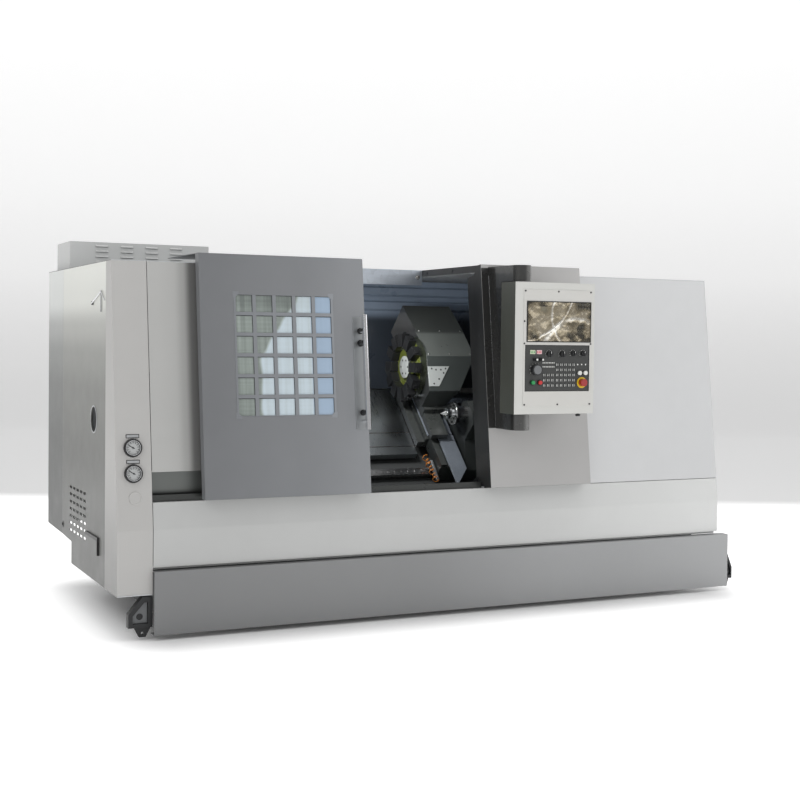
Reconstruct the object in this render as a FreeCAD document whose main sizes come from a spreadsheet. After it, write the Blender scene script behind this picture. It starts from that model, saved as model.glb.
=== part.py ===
import FreeCAD, Part
import math
import os
import re
import Sketcher
from FreeCAD import Placement, Rotation, Vector

# A slant-bed turning lathe with a 12-station turret, in millimetres.
# Places are given from the lower left front corner of the base skirt: x to the right along
# the bed, y to the back, z up. frame_point() moves them to the part's own frame, whose
# origin is on the floor under the middle of the machine.

DIMENSIONS = {
    # frame of the part
    "middle_x": 1589.75, "middle_y": 699.5, "skirt_clearance": 25,
    # cabinet sheet metal
    "gauge": 3, "cabinet_left": 167, "cabinet_right": 3245, "cabinet_back": 1642,
    "cabinet_bottom": 185, "seam_gap": 2, "corner_depth": 274, "service_end": 1245,
    "rear_bottom": 320, "fold_front": 25, "fold_height": 484, "cabinet_top": 1723,
    "lean_slope": 0.1228, "flange": 45,
    "skirt_length": 3300, "skirt_height": 293, "skirt_flange": 60,
    "lower_panel_bottom": 310, "lower_panel_top": 608, "upper_panel_bottom": 611,
    # door, its window and its opening
    "opening_left": 905, "opening_right": 1742, "roof_opening_back": 795, "sill_height": 747,
    "door_left": 228, "door_width": 842, "door_bottom": 618, "door_top": 1766,
    "door_front": -35, "door_return": 630, "door_side_depth": 52,
    "window_left": 166, "window_bottom": 385, "window_width": 508, "window_height": 580,
    "pane_pitch_x": 101, "pane_pitch_z": 99, "pane": 83, "pane_border": 10,
    "glass_thickness": 6, "handle_radius": 12.5, "handle_length": 562, "handle_standoff": 70,
    "standoff_radius": 8,
    # control box and pulpit
    "box_width": 606, "box_depth": 73, "jamb_depth": 150, "beam_width": 40, "beam_height": 36,
    "arm_left": 1785, "arm_width": 100, "arm_top": 1752, "arm_bottom": 920, "arm_front": -35,
    "knuckle_height": 81, "swivel_y": -150, "pulpit_left": 1758, "pulpit_width": 470,
    "pulpit_front": -225, "pulpit_depth": 140, "pulpit_bottom": 1004, "pulpit_height": 662,
    "panel_thickness": 12, "fit_gap": 0.5, "stem_radius": 4, "stem_length": 8, "stem_gap": 0.05,
    # slant bed, guides and slides, along the slope and square to it
    "bed_left": 60, "bed_length": 3140, "axis_y": 508, "axis_z": 968, "axis_height": 300,
    "guide_width": 42, "guide_height": 40, "lower_guide": -186, "upper_guide": 331,
    "saddle_left": 1650, "saddle_width": 200, "saddle_high": 560, "saddle_step": 40, "saddle_shelf": 100,
    "saddle_bottom": 60, "saddle_top": 125, "carriage_bottom": 8, "carriage_wall": 28,
    "slide_top": 225, "slide_low": 100, "slide_high": 620, "slide_bottom": 162,
    "disc_u": 353, "disc_radius": 172, "disc_left": 1640, "disc_width": 40, "tool_stations": 12,
    "hub_radius": 64, "hub_width": 14, "holder_width": 54, "holder_depth": 46, "holder_root": 112,
    "holder_reach": 74, "shank": 20, "shank_root": 166, "shank_reach": 30,
    "housing_left": 1680, "housing_width": 300, "rail_width": 35, "rail_height": 15,
    "cover_span": 360, "cover_low": -70, "cover_high": 395,
    # spindle, chuck and tailstock
    "wall_left": 640, "spindle_radius": 80, "bar_bore_radius": 33, "chuck_left": 670,
    "chuck_radius": 127, "chuck_width": 110, "jaw_width": 32, "jaw_depth": 15,
    "tailstock_left": 1875, "tailstock_length": 325, "quill_radius": 42.5,
    "quill_left": 1799, "centre_tip": 1724, "centre_radius": 32, "slide_fit": 0.05,
}

doc = FreeCAD.newDocument("TurningLathe")
sheet = doc.addObject("Spreadsheet::Sheet", "Dims")
for row, (alias, number) in enumerate(DIMENSIONS.items(), 1):
    sheet.set(f"A{row}", alias)
    sheet.set(f"B{row}", str(number))
    sheet.setAlias(f"B{row}", alias)
doc.recompute()

pieces = []


def bound(expression):
    """The expression with each alias pointing at its cell."""
    return re.sub(r"[a-z][a-z_]+", r"Dims.\g<0>", str(expression))


def value(expression):
    """The number that an expression of aliases gives."""
    return float(sheet.evalExpression(bound(expression)))


def frame_point(x, y, z):
    """A place given from the skirt's corner, in the part's frame."""
    return Vector(value(f"{x} - middle_x"), value(f"{y} - middle_y"), value(f"{z} + skirt_clearance"))


LEAN = math.degrees(math.atan(value("lean_slope")))
SLOPE = 45
COS_SLOPE = math.cos(math.radians(SLOPE))
BED_Y = value("axis_y") + value("axis_height") * COS_SLOPE
BED_Z = value("axis_z") - value("axis_height") * COS_SLOPE


def upright(x=0, y=0, z=0):
    return Placement(frame_point(x, y, z), Rotation())


def on_slope(x=0, along=0, above=0):
    """Local y runs up the slanted bed and local z square out of it."""
    y = BED_Y + (value(along) - value(above)) * COS_SLOPE
    z = BED_Z + (value(along) + value(above)) * COS_SLOPE
    return Placement(frame_point(x, y, z), Rotation(Vector(1, 0, 0), SLOPE))


def on_lean(x, front, bottom, along=0, behind=0, up=0):
    """Local z runs up a front that leans back; local y goes straight into it."""
    turn = Rotation(Vector(1, 0, 0), -LEAN)
    offset = turn.multVec(Vector(value(along), value(behind), value(up)))
    return Placement(frame_point(x, front, bottom) + offset, turn)


def box(length, width, height, place):
    """A block whose three sizes are bound to the sheet."""
    block = doc.addObject("Part::Box", "Block")
    for name, expression in zip(("Length", "Width", "Height"), (length, width, height)):
        block.setExpression(name, bound(expression))
    block.Placement = place
    return block


AXIS_TURNS = {"x": Rotation(Vector(0, 1, 0), 90), "y": Rotation(Vector(1, 0, 0), 90), "z": Rotation()}


def cylinder(radius, length, place, axis="z"):
    """A round bar from its place along local x, -y or z."""
    bar = doc.addObject("Part::Cylinder", "Bar")
    bar.setExpression("Radius", bound(radius))
    bar.setExpression("Height", bound(length))
    bar.Placement = place.multiply(Placement(Vector(), AXIS_TURNS[axis]))
    return bar


def cut(base, tools):
    """The base with one or more tools taken away."""
    tool = tools
    if isinstance(tools, list):
        tool = doc.addObject("Part::Compound", "Tools")
        tool.Links = tools
    result = doc.addObject("Part::Cut", "Cut")
    result.Base = base
    result.Tool = tool
    return result


def fuse(shapes):
    result = doc.addObject("Part::MultiFuse", "Fuse")
    result.Shapes = shapes
    return result


def separate(shapes):
    """Several separate solids under one name."""
    result = doc.addObject("Part::Compound", "Set")
    result.Links = shapes
    return result


def sketched_body(outline, plane):
    """A body with a closed outline whose corners are bound to the sheet."""
    body = doc.addObject("PartDesign::Body", "Section")
    sketch = body.newObject("Sketcher::SketchObject", "Outline")
    origin_plane = [part for part in body.Origin.OriginFeatures if part.Role == plane][0]
    sketch.AttachmentSupport = [(origin_plane, "")]
    sketch.MapMode = "FlatFace"
    corners = [Vector(value(across), value(up), 0) for across, up in outline]
    for index, corner in enumerate(corners):
        sketch.addGeometry(Part.LineSegment(corner, corners[(index + 1) % len(corners)]))
    for index in range(len(corners)):
        sketch.addConstraint(Sketcher.Constraint("Coincident", index, 2, (index + 1) % len(corners), 1))
    for index, (expressions, corner) in enumerate(zip(outline, corners)):
        for kind, expression, size in zip(("DistanceX", "DistanceY"), expressions, (corner.x, corner.y)):
            row = sketch.addConstraint(Sketcher.Constraint(kind, -1, 1, index, 1, size))
            sketch.setExpression(f"Constraints[{row}]", bound(expression))
    return body, sketch


def section(outline, length, place):
    """A side outline (y, z) drawn out along x."""
    body, sketch = sketched_body(outline, "YZ_Plane")
    pad = body.newObject("PartDesign::Pad", "Pad")
    pad.Profile = sketch
    pad.setExpression("Length", bound(length))
    body.Placement = place
    return body


def plate(outline, thickness, place):
    """A front outline (x, z) given thickness towards the back."""
    body, sketch = sketched_body(outline, "XZ_Plane")
    pad = body.newObject("PartDesign::Pad", "Pad")
    pad.Profile = sketch
    pad.Reversed = True
    pad.setExpression("Length", bound(thickness))
    body.Placement = place
    return body


def turned(outline, place):
    """An outline (x along the axis, z out from it) turned about x."""
    body, sketch = sketched_body(outline, "XZ_Plane")
    revolution = body.newObject("PartDesign::Revolution", "Turned")
    revolution.Profile = sketch
    revolution.ReferenceAxis = (sketch, ["H_Axis"])
    revolution.Angle = 360
    body.Placement = place
    return body


def piece(name, shape):
    """Names a finished sub-part."""
    shape.Label = name
    pieces.append(shape)


def leaning(height, front="fold_front", start="fold_height"):
    """How far back a leaning front is at a height."""
    return f"({front} + ({height} - {start}) * lean_slope)"


# Base: skirt plate, slanted bed, feet and the tie-down brackets at both ends.

def base_skirt():
    outline = [
        (0, 0), ("skirt_flange", 0), ("skirt_flange", "gauge"), ("gauge", "gauge"),
        ("gauge", "skirt_height - gauge"), ("skirt_flange", "skirt_height - gauge"),
        ("skirt_flange", "skirt_height"), (0, "skirt_height"),
    ]
    piece("base_skirt", section(outline, "skirt_length", upright()))


def bed_casting():
    low, high = -330, 420
    foot = [(BED_Y + low * COS_SLOPE, BED_Z + low * COS_SLOPE)]
    top = [(BED_Y + high * COS_SLOPE, BED_Z + high * COS_SLOPE)]
    back = top[0][1]
    outline = foot + top + [(1177, back), (1300, 600), (1300, 60), (200, 60), (200, 300), (foot[0][0], 300)]
    piece("bed_casting", section(outline, "bed_length", upright("bed_left")))


def levelling_feet():
    feet = []
    for x in (200, 1140, 2080, 3020):
        for y in (290, 1210):
            pad = cylinder(55, 22, upright(x, y, "-skirt_clearance"))
            screw = cylinder(20, "60 + skirt_clearance - 22", upright(x, y, "22 - skirt_clearance"))
            feet.append(fuse([pad, screw]))
    piece("levelling_feet", separate(feet))


def tie_down_bracket(x, side):
    """A cranked frame around a bored plate, with a drilled lug below."""
    frame_line = [(0, 178), (-48, 178), (-113, 99), (-113, 36), (0, 36)]
    frame_outline = [(side * along, up) for along, up in frame_line]
    window_line = [(-22, 152), (-38, 152), (-93, 90), (-93, 54), (-22, 54)]
    window = [(side * along, up) for along, up in window_line]
    plate_line = [(-22.5, 151.5), (-37.8, 151.5), (-92.5, 89.8), (-92.5, 54.5), (-22.5, 54.5)]
    lug_line = [(-6, 36), (-84, 36), (-60, -10), (-30, -10)]
    frame = cut(plate(frame_outline, 40, upright(x, 30)), plate(window, 40, upright(x, 30)))
    inner_outline = [(side * along, up) for along, up in plate_line]
    inner = cut(plate(inner_outline, 10, upright(x, 45)), cylinder(13, 40, upright(x, 70).multiply(
        Placement(Vector(side * -58, 0, 85), Rotation())), "y"))
    rib = plate([(side * along, up) for along, up in window_line], 10, upright(x, 55))
    lug = plate([(side * along, up) for along, up in lug_line], 20, upright(x, 40))
    hole = cylinder(7, 60, upright(x, 80).multiply(Placement(Vector(side * -45, 0, 8), Rotation())), "y")
    return fuse([frame, inner, rib, cut(lug, hole)])


def foot_brackets():
    left = tie_down_bracket(0, 1)
    right = tie_down_bracket("skirt_length", -0.5)
    piece("foot_brackets", separate([left, right]))


def linear_guides():
    rails = []
    for along in ("lower_guide", "upper_guide"):
        place = on_slope(700, f"{along} - guide_width / 2")
        rails.append(box(1590, "guide_width", "guide_height", place))
    piece("linear_guides", separate(rails))


# Cabinet: folded sheet panels that hang on each other round the bed.

def front_column():
    front = [
        ("fold_front", "cabinet_bottom"), ("fold_front + gauge", "cabinet_bottom"),
        ("fold_front + gauge", "fold_height"), (leaning("cabinet_top") + " + gauge", "cabinet_top"),
        (leaning("cabinet_top"), "cabinet_top"), ("fold_front", "fold_height"),
    ]
    side = [
        ("fold_front", "cabinet_bottom"), ("corner_depth - seam_gap", "cabinet_bottom"),
        ("corner_depth - seam_gap", "cabinet_top"), (leaning("cabinet_top"), "cabinet_top"),
        ("fold_front", "fold_height"),
    ]
    face = section(front, "cabinet_left - seam_gap", upright("-cabinet_left"))
    return_side = section(side, "gauge", upright("-cabinet_left"))
    piece("front_column", fuse([face, return_side]))


def slot_grid(columns, rows, pitch_y, pitch_z, place):
    slots = []
    for column in range(columns):
        for row in range(rows):
            shift = Placement(Vector(0, column * pitch_y, row * pitch_z), Rotation())
            slots.append(box(20, 56, 14, place.multiply(shift)))
    return slots


def service_door():
    outline = [
        ("corner_depth", "cabinet_bottom"), (1018, "cabinet_bottom"), (1018, 300),
        ("service_end - seam_gap", 310), ("service_end - seam_gap", "cabinet_top"),
        ("corner_depth", "cabinet_top"),
    ]
    panel = section(outline, "gauge", upright("-cabinet_left"))
    access = cylinder(61.5, 40, upright("-cabinet_left - 20", "axis_y", "axis_z"), "x")
    vents = slot_grid(5, 7, 81, 37.5, upright("-cabinet_left - 10", 680, 352))
    piece("service_door", cut(panel, [access] + vents))
    bar = box(10, 267, 16, upright("-cabinet_left - 10", 389, 390))
    leg = box(10, 14, 86, upright("-cabinet_left - 10", 389, 320))
    piece("service_handle", fuse([bar, leg]))


def rear_wall():
    """Rear sheet folded round the left rear corner."""
    corner = [
        ("service_end", 310), ("cabinet_back", "rear_bottom"), ("cabinet_back", "cabinet_top"),
        ("service_end", "cabinet_top"),
    ]
    side = section(corner, "gauge", upright("-cabinet_left"))
    rear = box("cabinet_left + cabinet_right", "gauge", "cabinet_top - rear_bottom",
               upright("-cabinet_left", "cabinet_back - gauge", "rear_bottom"))
    piece("rear_wall", fuse([side, rear]))


def lower_front_panel():
    top = leaning("lower_panel_top")
    outline = [
        ("fold_front", "lower_panel_bottom"), ("fold_front", "fold_height"), (top, "lower_panel_top"),
        (f"{top} + flange", "lower_panel_top"), (f"{top} + flange", "lower_panel_top - gauge"),
        (f"{top} + gauge", "lower_panel_top - gauge"), ("fold_front + gauge", "fold_height"),
        ("fold_front + gauge", "lower_panel_bottom + gauge"), (55, "lower_panel_bottom + gauge"),
        (55, 296), (52, 296), (52, "lower_panel_bottom"),
    ]
    piece("lower_front_panel", section(outline, "cabinet_right - 5", upright(1)))


def upper_panel_outline(bottom):
    low, high = leaning(bottom), leaning("cabinet_top")
    return [
        (low, bottom), (f"{low} + flange", bottom), (f"{low} + flange", f"{bottom} + gauge"),
        (f"{low} + gauge", f"{bottom} + gauge"), (f"{high} + gauge", "cabinet_top - gauge"),
        (f"{high} + flange", "cabinet_top - gauge"), (f"{high} + flange", "cabinet_top"),
        (high, "cabinet_top"),
    ]


def upper_front_panels():
    left = section(upper_panel_outline("sill_height"), "opening_left - 1", upright(1))
    piece("left_front_panel", left)
    width = "cabinet_right - gauge * 2 - seam_gap - opening_right"
    right = section(upper_panel_outline("upper_panel_bottom"), width, upright("opening_right + gauge + 1"))
    piece("right_front_panel", right)


def closing_walls():
    side = [
        (28, "lower_panel_bottom"), (28, "fold_height"), (leaning("cabinet_top"), "cabinet_top"),
        ("cabinet_back - gauge", "cabinet_top"), ("cabinet_back - gauge", "lower_panel_bottom"),
    ]
    piece("right_side_wall", section(side, "gauge", upright("cabinet_right - gauge")))
    front = value(leaning("cabinet_top")) + 1
    roof = box("cabinet_left + cabinet_right", f"cabinet_back - {front}", "gauge",
               upright("-cabinet_left", front, "cabinet_top"))
    opening = box("opening_right - opening_left", "roof_opening_back", "gauge * 3",
                  upright("opening_left", 0, "cabinet_top - gauge"))
    piece("roof_sheet", cut(roof, opening))


def work_chamber():
    """Inner sheets that keep chips and coolant round the spindle."""
    side = [
        (112, 640), (481, 530), (1001, 1050), (1055, 1080), (1176, 1080), (1176, 1715), (182, 1715),
    ]
    left = section(side, "gauge", upright("wall_left"))
    port = cylinder(150, 30, upright("wall_left - 10", "axis_y", "axis_z"), "x")
    piece("chamber_left_wall", cut(left, port))
    piece("chamber_right_wall", section(side, "gauge", upright(2297)))
    beads = [
        (1180, 1080), (1180, 1537), (1162, 1550), (1162, 1588), (1180, 1598), (1180, 1622),
        (1162, 1634), (1162, 1672), (1180, 1684), (1180, 1715), (1183, 1715), (1183, 1682),
        (1165, 1670), (1165, 1636), (1183, 1624), (1183, 1596), (1165, 1586), (1165, 1552),
        (1183, 1539), (1183, 1080),
    ]
    piece("chamber_rear_wall", section(beads, 1654, upright("wall_left + gauge")))
    chute = [(86, 603), (300, 420), (470, 420), (470, 417), (299, 417), (84, 600)]
    piece("chip_chute", section(chute, 1650, upright("wall_left + 5")))


def door_rails():
    track = [(60, 608.5), (60, 640), (68, 640), (68, 611.5), (103, 611.5), (103, 608.5)]
    rail = section(track, "opening_right - 8", upright(4))
    back = box(1086, "gauge", 137, upright(4, 100, 608.5))
    piece("door_track", fuse([rail, back]))
    rail = box("opening_right - opening_left - 4", 14, 85,
               upright("opening_left + 2", "roof_opening_back - 15", 1677))
    piece("top_rail", rail)


def vent_box():
    """Ventilated housing on the roof over the electrical cabinet, louvred to the front."""
    outer = box(777, 334, 155, upright(-120, 1316, 1728))
    inner = box("777 - gauge * 2", "334 - gauge * 2", "155 - gauge * 2",
                upright("gauge - 120", "1316 + gauge", "1728 + gauge"))
    louvres = []
    for column in range(4):
        for row in range(4):
            louvres.append(box(67, 10, 6, upright(20 + 138 * column, 1312, 1856 - 28.5 * row)))
    piece("vent_box", cut(outer, [inner] + louvres))


# Sliding door: folded panel, window grid and glass, tube handle.

def on_door(along=0, behind=0, up=0):
    return on_lean("door_left", "door_front", "door_bottom", along, behind, up)


def door_panel():
    top = leaning("door_top", "door_front", "door_bottom")
    outline = [
        ("door_front", "door_bottom"), ("door_front + door_side_depth", "door_bottom"),
        ("door_front + door_side_depth", "door_bottom + gauge"),
        ("door_front + gauge", "door_bottom + gauge"), (f"{top} + gauge", "door_top"),
        ("door_return", "door_top"), ("door_return", "door_top + gauge"), (top, "door_top + gauge"),
    ]
    sheet_metal = section(outline, "door_width", upright("door_left"))
    cheek = [
        ("door_front", "door_bottom"), ("door_front + door_side_depth", "door_bottom"),
        (f"{top} + door_side_depth", "door_top"), (top, "door_top"),
    ]
    cheeks = []
    for x in ("door_left", "door_left + door_width - gauge"):
        cheeks.append(section(cheek, "gauge", upright(x)))
    opening = box("window_width", 40, "window_height", on_door("window_left", -20, "window_bottom"))
    piece("sliding_door", cut(fuse([sheet_metal] + cheeks), opening))


def door_window():
    grid = box("window_width - fit_gap", "gauge + 1", "window_height - fit_gap",
               on_door("window_left + fit_gap / 2", -1, "window_bottom + fit_gap / 2"))
    panes = []
    for column in range(5):
        for row in range(6):
            along = f"window_left + pane_border + pane_pitch_x * {column}"
            up = f"window_bottom + pane_border / 2 - 2 + pane_pitch_z * {row}"
            panes.append(box("pane", 40, "pane", on_door(along, -20, up)))
    piece("window_grid", cut(grid, panes))
    glass = box("window_width + 40", "glass_thickness", "window_height + 40",
                on_door("window_left - 20", "gauge + fit_gap", "window_bottom - 20"))
    piece("window_glass", glass)


def door_handle():
    along, up = 812, 308
    tube = cylinder("handle_radius", "handle_length", on_door(along, "-handle_standoff", up))
    posts = []
    for height in (up + 45, "308 + handle_length - 75"):
        foot = on_door(along, -0.4, height)
        posts.append(cylinder("standoff_radius", "handle_standoff - fit_gap", foot, "y"))
    piece("door_handle", fuse([tube] + posts))


# Control box, swivel arm and pulpit.

def control_box():
    height = value("door_top - door_bottom") / math.cos(math.radians(LEAN))
    def on_box(along=0, behind=0, up=0):
        return on_lean("opening_right", "door_front", "door_bottom", along, behind, up)
    outer = box("box_width", "box_depth", height, on_box())
    inner = box("box_width - gauge * 2", "box_depth - gauge * 2", height - value("gauge * 2"),
                on_box("gauge", "gauge", "gauge"))
    jamb = box("gauge", "jamb_depth", height - 60, on_box(0, 0, 14))
    beam = box("beam_width", "roof_opening_back - 125", "beam_height",
               upright("opening_right", 125, "cabinet_top + gauge"))
    piece("control_box", fuse([cut(outer, inner), jamb, beam]))


def pulpit_arm():
    """Column on the control box with an arm over and under the pulpit."""
    back = leaning("arm_top", "door_front", "door_bottom")
    low = leaning("arm_bottom", "door_front", "door_bottom")
    outline = [("arm_front", "arm_bottom"), (low, "arm_bottom"), (back, "arm_top"), ("arm_front", "arm_top")]
    column = section(outline, "arm_width", upright("arm_left"))
    arms = [column]
    for z in ("arm_bottom", "arm_top - knuckle_height"):
        reach = upright("arm_left", "swivel_y", z)
        arms.append(box("arm_width", "arm_front - swivel_y", "knuckle_height", reach))
        centre = upright("arm_left + arm_width / 2", "swivel_y", z)
        arms.append(cylinder("arm_width / 2", "knuckle_height", centre))
    piece("pulpit_arm", fuse(arms))


def in_pulpit(x, z, behind=0):
    return upright(x, f"pulpit_front + {behind}", z)


SCREEN = {"left": 1824, "bottom": 1366, "width": 382, "height": 206}
KEY_PANEL = {"left": 1817, "bottom": 1118, "width": 382, "height": 234}


def panel_pocket(panel):
    return box(f"{panel['width']} + fit_gap", "panel_thickness", f"{panel['height']} + fit_gap",
               in_pulpit(f"{panel['left']} - fit_gap / 2", f"{panel['bottom']} - fit_gap / 2"))


def panel_plate(panel):
    return box(panel["width"], "panel_thickness", panel["height"], in_pulpit(panel["left"], panel["bottom"]))


def pulpit_box():
    outer = box("pulpit_width", "pulpit_depth", "pulpit_height", in_pulpit("pulpit_left", "pulpit_bottom"))
    piece("pulpit_box", cut(outer, [panel_pocket(SCREEN), panel_pocket(KEY_PANEL)]))
    piece("screen_unit", panel_plate(SCREEN))


# Controls of the key panel: name, centre (x, z), knob radius and knob length.
KNOBS = [
    ("mode_switch", 1958, 1307, 15, 18), ("feed_switch", 2036, 1307, 15, 18),
    ("rapid_switch", 2100, 1310, 13, 18), ("speed_switch", 2159, 1310, 13, 18),
    ("program_lock", 1874, 1278, 9, 14), ("drive_switch", 1908, 1278, 9, 14),
    ("handwheel", 1880, 1227, 28, 22),
]
BUTTONS = [
    ("power_on_button", 1862, 1163, 10, 9), ("power_off_button", 1904, 1163, 10, 9),
    ("cycle_start_button", 2139, 1211, 11, 8), ("feed_hold_button", 2173, 1211, 11, 8),
    ("emergency_stop", 2155, 1162, 19, 22),
]


def key_panel():
    holes = []
    for _, x, z, _, _ in KNOBS + BUTTONS:
        holes.append(cylinder("stem_radius + stem_gap", 40, in_pulpit(x, z, 30), "y"))
    piece("key_panel", cut(panel_plate(KEY_PANEL), holes))


def control(name, x, z, radius, length, proud, gripped):
    """A knob or button head on a stem that runs in the key panel."""
    head = cylinder(radius, length, in_pulpit(x, z, -proud), "y")
    stem = cylinder("stem_radius", f"stem_length + {proud}", in_pulpit(x, z, "stem_length"), "y")
    shapes = [head, stem]
    if gripped:
        place = in_pulpit(x - radius * 0.25, z - radius * 0.95, -proud - length - 5)
        shapes.append(box(radius * 0.5, 6, radius * 1.9, place))
    piece(name, fuse(shapes))


def controls():
    for name, x, z, radius, length in KNOBS:
        control(name, x, z, radius, length, 0.4, name.endswith(("switch", "lock")))
    for name, x, z, radius, length in BUTTONS:
        control(name, x, z, radius, length, 4, False)


# Headstock, spindle, chuck and its three jaws.

def headstock():
    outline = [(300, 700), (300, 1190), (740, 1190), (900, 1030), (900, 946), (600, 646), (420, 600)]
    block = section(outline, "wall_left - 8 - 100", upright(100))
    bore = cylinder("spindle_radius + slide_fit", 700, upright(80, "axis_y", "axis_z"), "x")
    piece("headstock", cut(block, bore))


def on_axis(x):
    return upright(x, "axis_y", "axis_z")


def spindle():
    outline = [
        (60, "bar_bore_radius"), ("chuck_left - 0.4", "bar_bore_radius"), ("chuck_left - 0.4", 110),
        (644, 110), (644, "spindle_radius"), (60, "spindle_radius"),
    ]
    piece("spindle", turned(outline, on_axis(0)))


def chuck():
    body = cut(cylinder("chuck_radius", "chuck_width", on_axis("chuck_left"), "x"),
               cylinder("bar_bore_radius", "chuck_width", on_axis("chuck_left"), "x"))
    slots = []
    for turn in (0, 120, 240):
        place = on_axis("chuck_left + chuck_width - jaw_depth - 0.3").multiply(
            Placement(Vector(), Rotation(Vector(1, 0, 0), turn)))
        slots.append(box("jaw_depth + 1", "jaw_width + 0.6", 140,
                         place.multiply(Placement(Vector(0, -value("jaw_width / 2 + 0.3"), 30), Rotation()))))
    piece("chuck_body", cut(body, slots))
    for number, turn in enumerate((0, 120, 240), 1):
        place = on_axis("chuck_left + chuck_width - jaw_depth").multiply(
            Placement(Vector(), Rotation(Vector(1, 0, 0), turn)))
        base = box("jaw_depth + 15", "jaw_width", 76,
                   place.multiply(Placement(Vector(0, -value("jaw_width / 2"), 45), Rotation())))
        step = box("jaw_depth + 45", "jaw_width", 34,
                   place.multiply(Placement(Vector(0, -value("jaw_width / 2"), 52), Rotation())))
        piece(f"jaw_{number}", fuse([base, step]))


# Slides on the slanted bed. Outlines run along the slope and square out of it.

RAIL_PLACES = (60, 140)


def carriage(guide):
    """The two walls and the channel that hold a slide on its guide, from low to high."""
    half = "(guide_width / 2 + fit_gap)"
    return [
        (f"{guide} - {half} - carriage_wall", "carriage_bottom"), (f"{guide} - {half}", "carriage_bottom"),
        (f"{guide} - {half}", "guide_height + fit_gap"), (f"{guide} + {half}", "guide_height + fit_gap"),
        (f"{guide} + {half}", "carriage_bottom"), (f"{guide} + {half} + carriage_wall", "carriage_bottom"),
    ]


def saddle():
    lower, upper = carriage("lower_guide"), carriage("upper_guide")
    outline = lower + [(lower[-1][0], "saddle_bottom"), (upper[0][0], "saddle_bottom")] + upper
    outline += [
        (upper[-1][0], "saddle_bottom"), ("saddle_high", "saddle_bottom"), ("saddle_high", "saddle_shelf"),
        (lower[0][0], "saddle_shelf"),
    ]
    shelf = section(outline, "saddle_width", on_slope("saddle_left"))
    low_edge = lower[0][0]
    upper_plate = box("saddle_width - saddle_step", f"saddle_high - ({low_edge})",
                      "saddle_top - saddle_shelf",
                      on_slope("saddle_left + saddle_step", low_edge, "saddle_shelf"))
    rails = []
    for along_x in RAIL_PLACES:
        foot = on_slope(f"saddle_left + {along_x}", -230, "saddle_top")
        rails.append(box("rail_width", 780, "rail_height", foot))
    hose_recess = box(61, 215, 200, on_slope("saddle_left - 1", -245, -1))
    piece("saddle", cut(fuse([shelf, upper_plate] + rails), hose_recess))
    upper_cover = box("saddle_width - saddle_step - 10", 315, 10,
                      on_slope("saddle_left + saddle_step + 5", -25, "saddle_top + 17"))
    lower_place = on_slope("saddle_left + 102", -382, "saddle_top + 17")
    slant = Placement(Vector(), Rotation(Vector(0, 0, 1), 50))
    below = Placement(Vector(-60, -150, -10), Rotation())
    corner = box(220, 150, 40, lower_place.multiply(slant).multiply(below))
    lower_cover = cut(box(95, 350, 10, lower_place), corner)
    piece("cross_way_cover", fuse([upper_cover, lower_cover]))


def way_covers():
    """Three telescoping covers over the guides between headstock and saddle."""
    names = ("way_cover_inner", "way_cover_middle", "way_cover_outer")
    for step, name in enumerate(names):
        height = 45 + 5 * step
        low, high = f"cover_low - {4 * step}", f"cover_high + {4 * step}"
        outline = [
            (low, 12 + 3 * step), (f"{low} + gauge", 12 + 3 * step), (f"{low} + gauge", f"{height} - gauge"),
            (f"{high} - gauge", f"{height} - gauge"), (f"{high} - gauge", 12 + 3 * step),
            (high, 12 + 3 * step), (high, height), (low, height),
        ]
        x = f"wall_left + 5 + {step} * 321.5"
        piece(name, section(outline, "cover_span", on_slope(x)))


def cross_slide():
    left, width = "saddle_left + saddle_step + 2", "saddle_width - saddle_step - 4"
    top_plate = box(width, "slide_high - slide_low", "slide_top - slide_bottom",
                    on_slope(left, "slide_low", "slide_bottom"))
    runner = box(width, 200, 34, on_slope(left, 345, 128))
    nose = box(100, "slide_low + 62", 32, on_slope("saddle_left + 45", -60, 160))
    channels = []
    for along_x in RAIL_PLACES:
        channels.append(box("rail_width + fit_gap * 2", 240, "rail_height + fit_gap",
                            on_slope(f"saddle_left + {along_x} - fit_gap", 330, "saddle_top")))
    piece("cross_slide", fuse([top_plate, nose, cut(runner, channels)]))


def turret():
    outline = [
        (120, "slide_top"), (120, 353), (284, 460), (496, 460), (704, 440), (704, "slide_top"),
    ]
    housing = section(outline, "housing_width", on_slope("housing_left"))
    bevelled_corner = [(1980, 1282), (1990, 1282), (1990, 990), (1814, 990)]
    piece("turret_housing", cut(housing, plate(bevelled_corner, 700, upright(0, 500))))
    centre = on_slope("disc_left", "disc_u", "axis_height")
    disc = cylinder("disc_radius", "disc_width - 0.4", centre, "x")
    hub = cylinder("hub_radius", "hub_width", on_slope("disc_left - hub_width", "disc_u", "axis_height"), "x")
    piece("turret_disc", fuse([disc, hub]))
    holders = []
    stations = int(value("tool_stations"))
    for station in range(stations):
        turn = Placement(Vector(), Rotation(Vector(1, 0, 0), 15 + 360 / stations * station))
        depth, width = value("holder_depth"), value("holder_width")
        block = box("holder_depth", "holder_width", "holder_reach", centre.multiply(turn).multiply(
            Placement(Vector(-depth, -width / 2, value("holder_root")), Rotation())))
        bit = box("shank", "shank", "shank_reach", centre.multiply(turn).multiply(
            Placement(Vector(10 - depth, -value("shank"), value("shank_root")), Rotation())))
        holders.append(fuse([block, bit]))
    piece("tool_holders", separate(holders))


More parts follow.
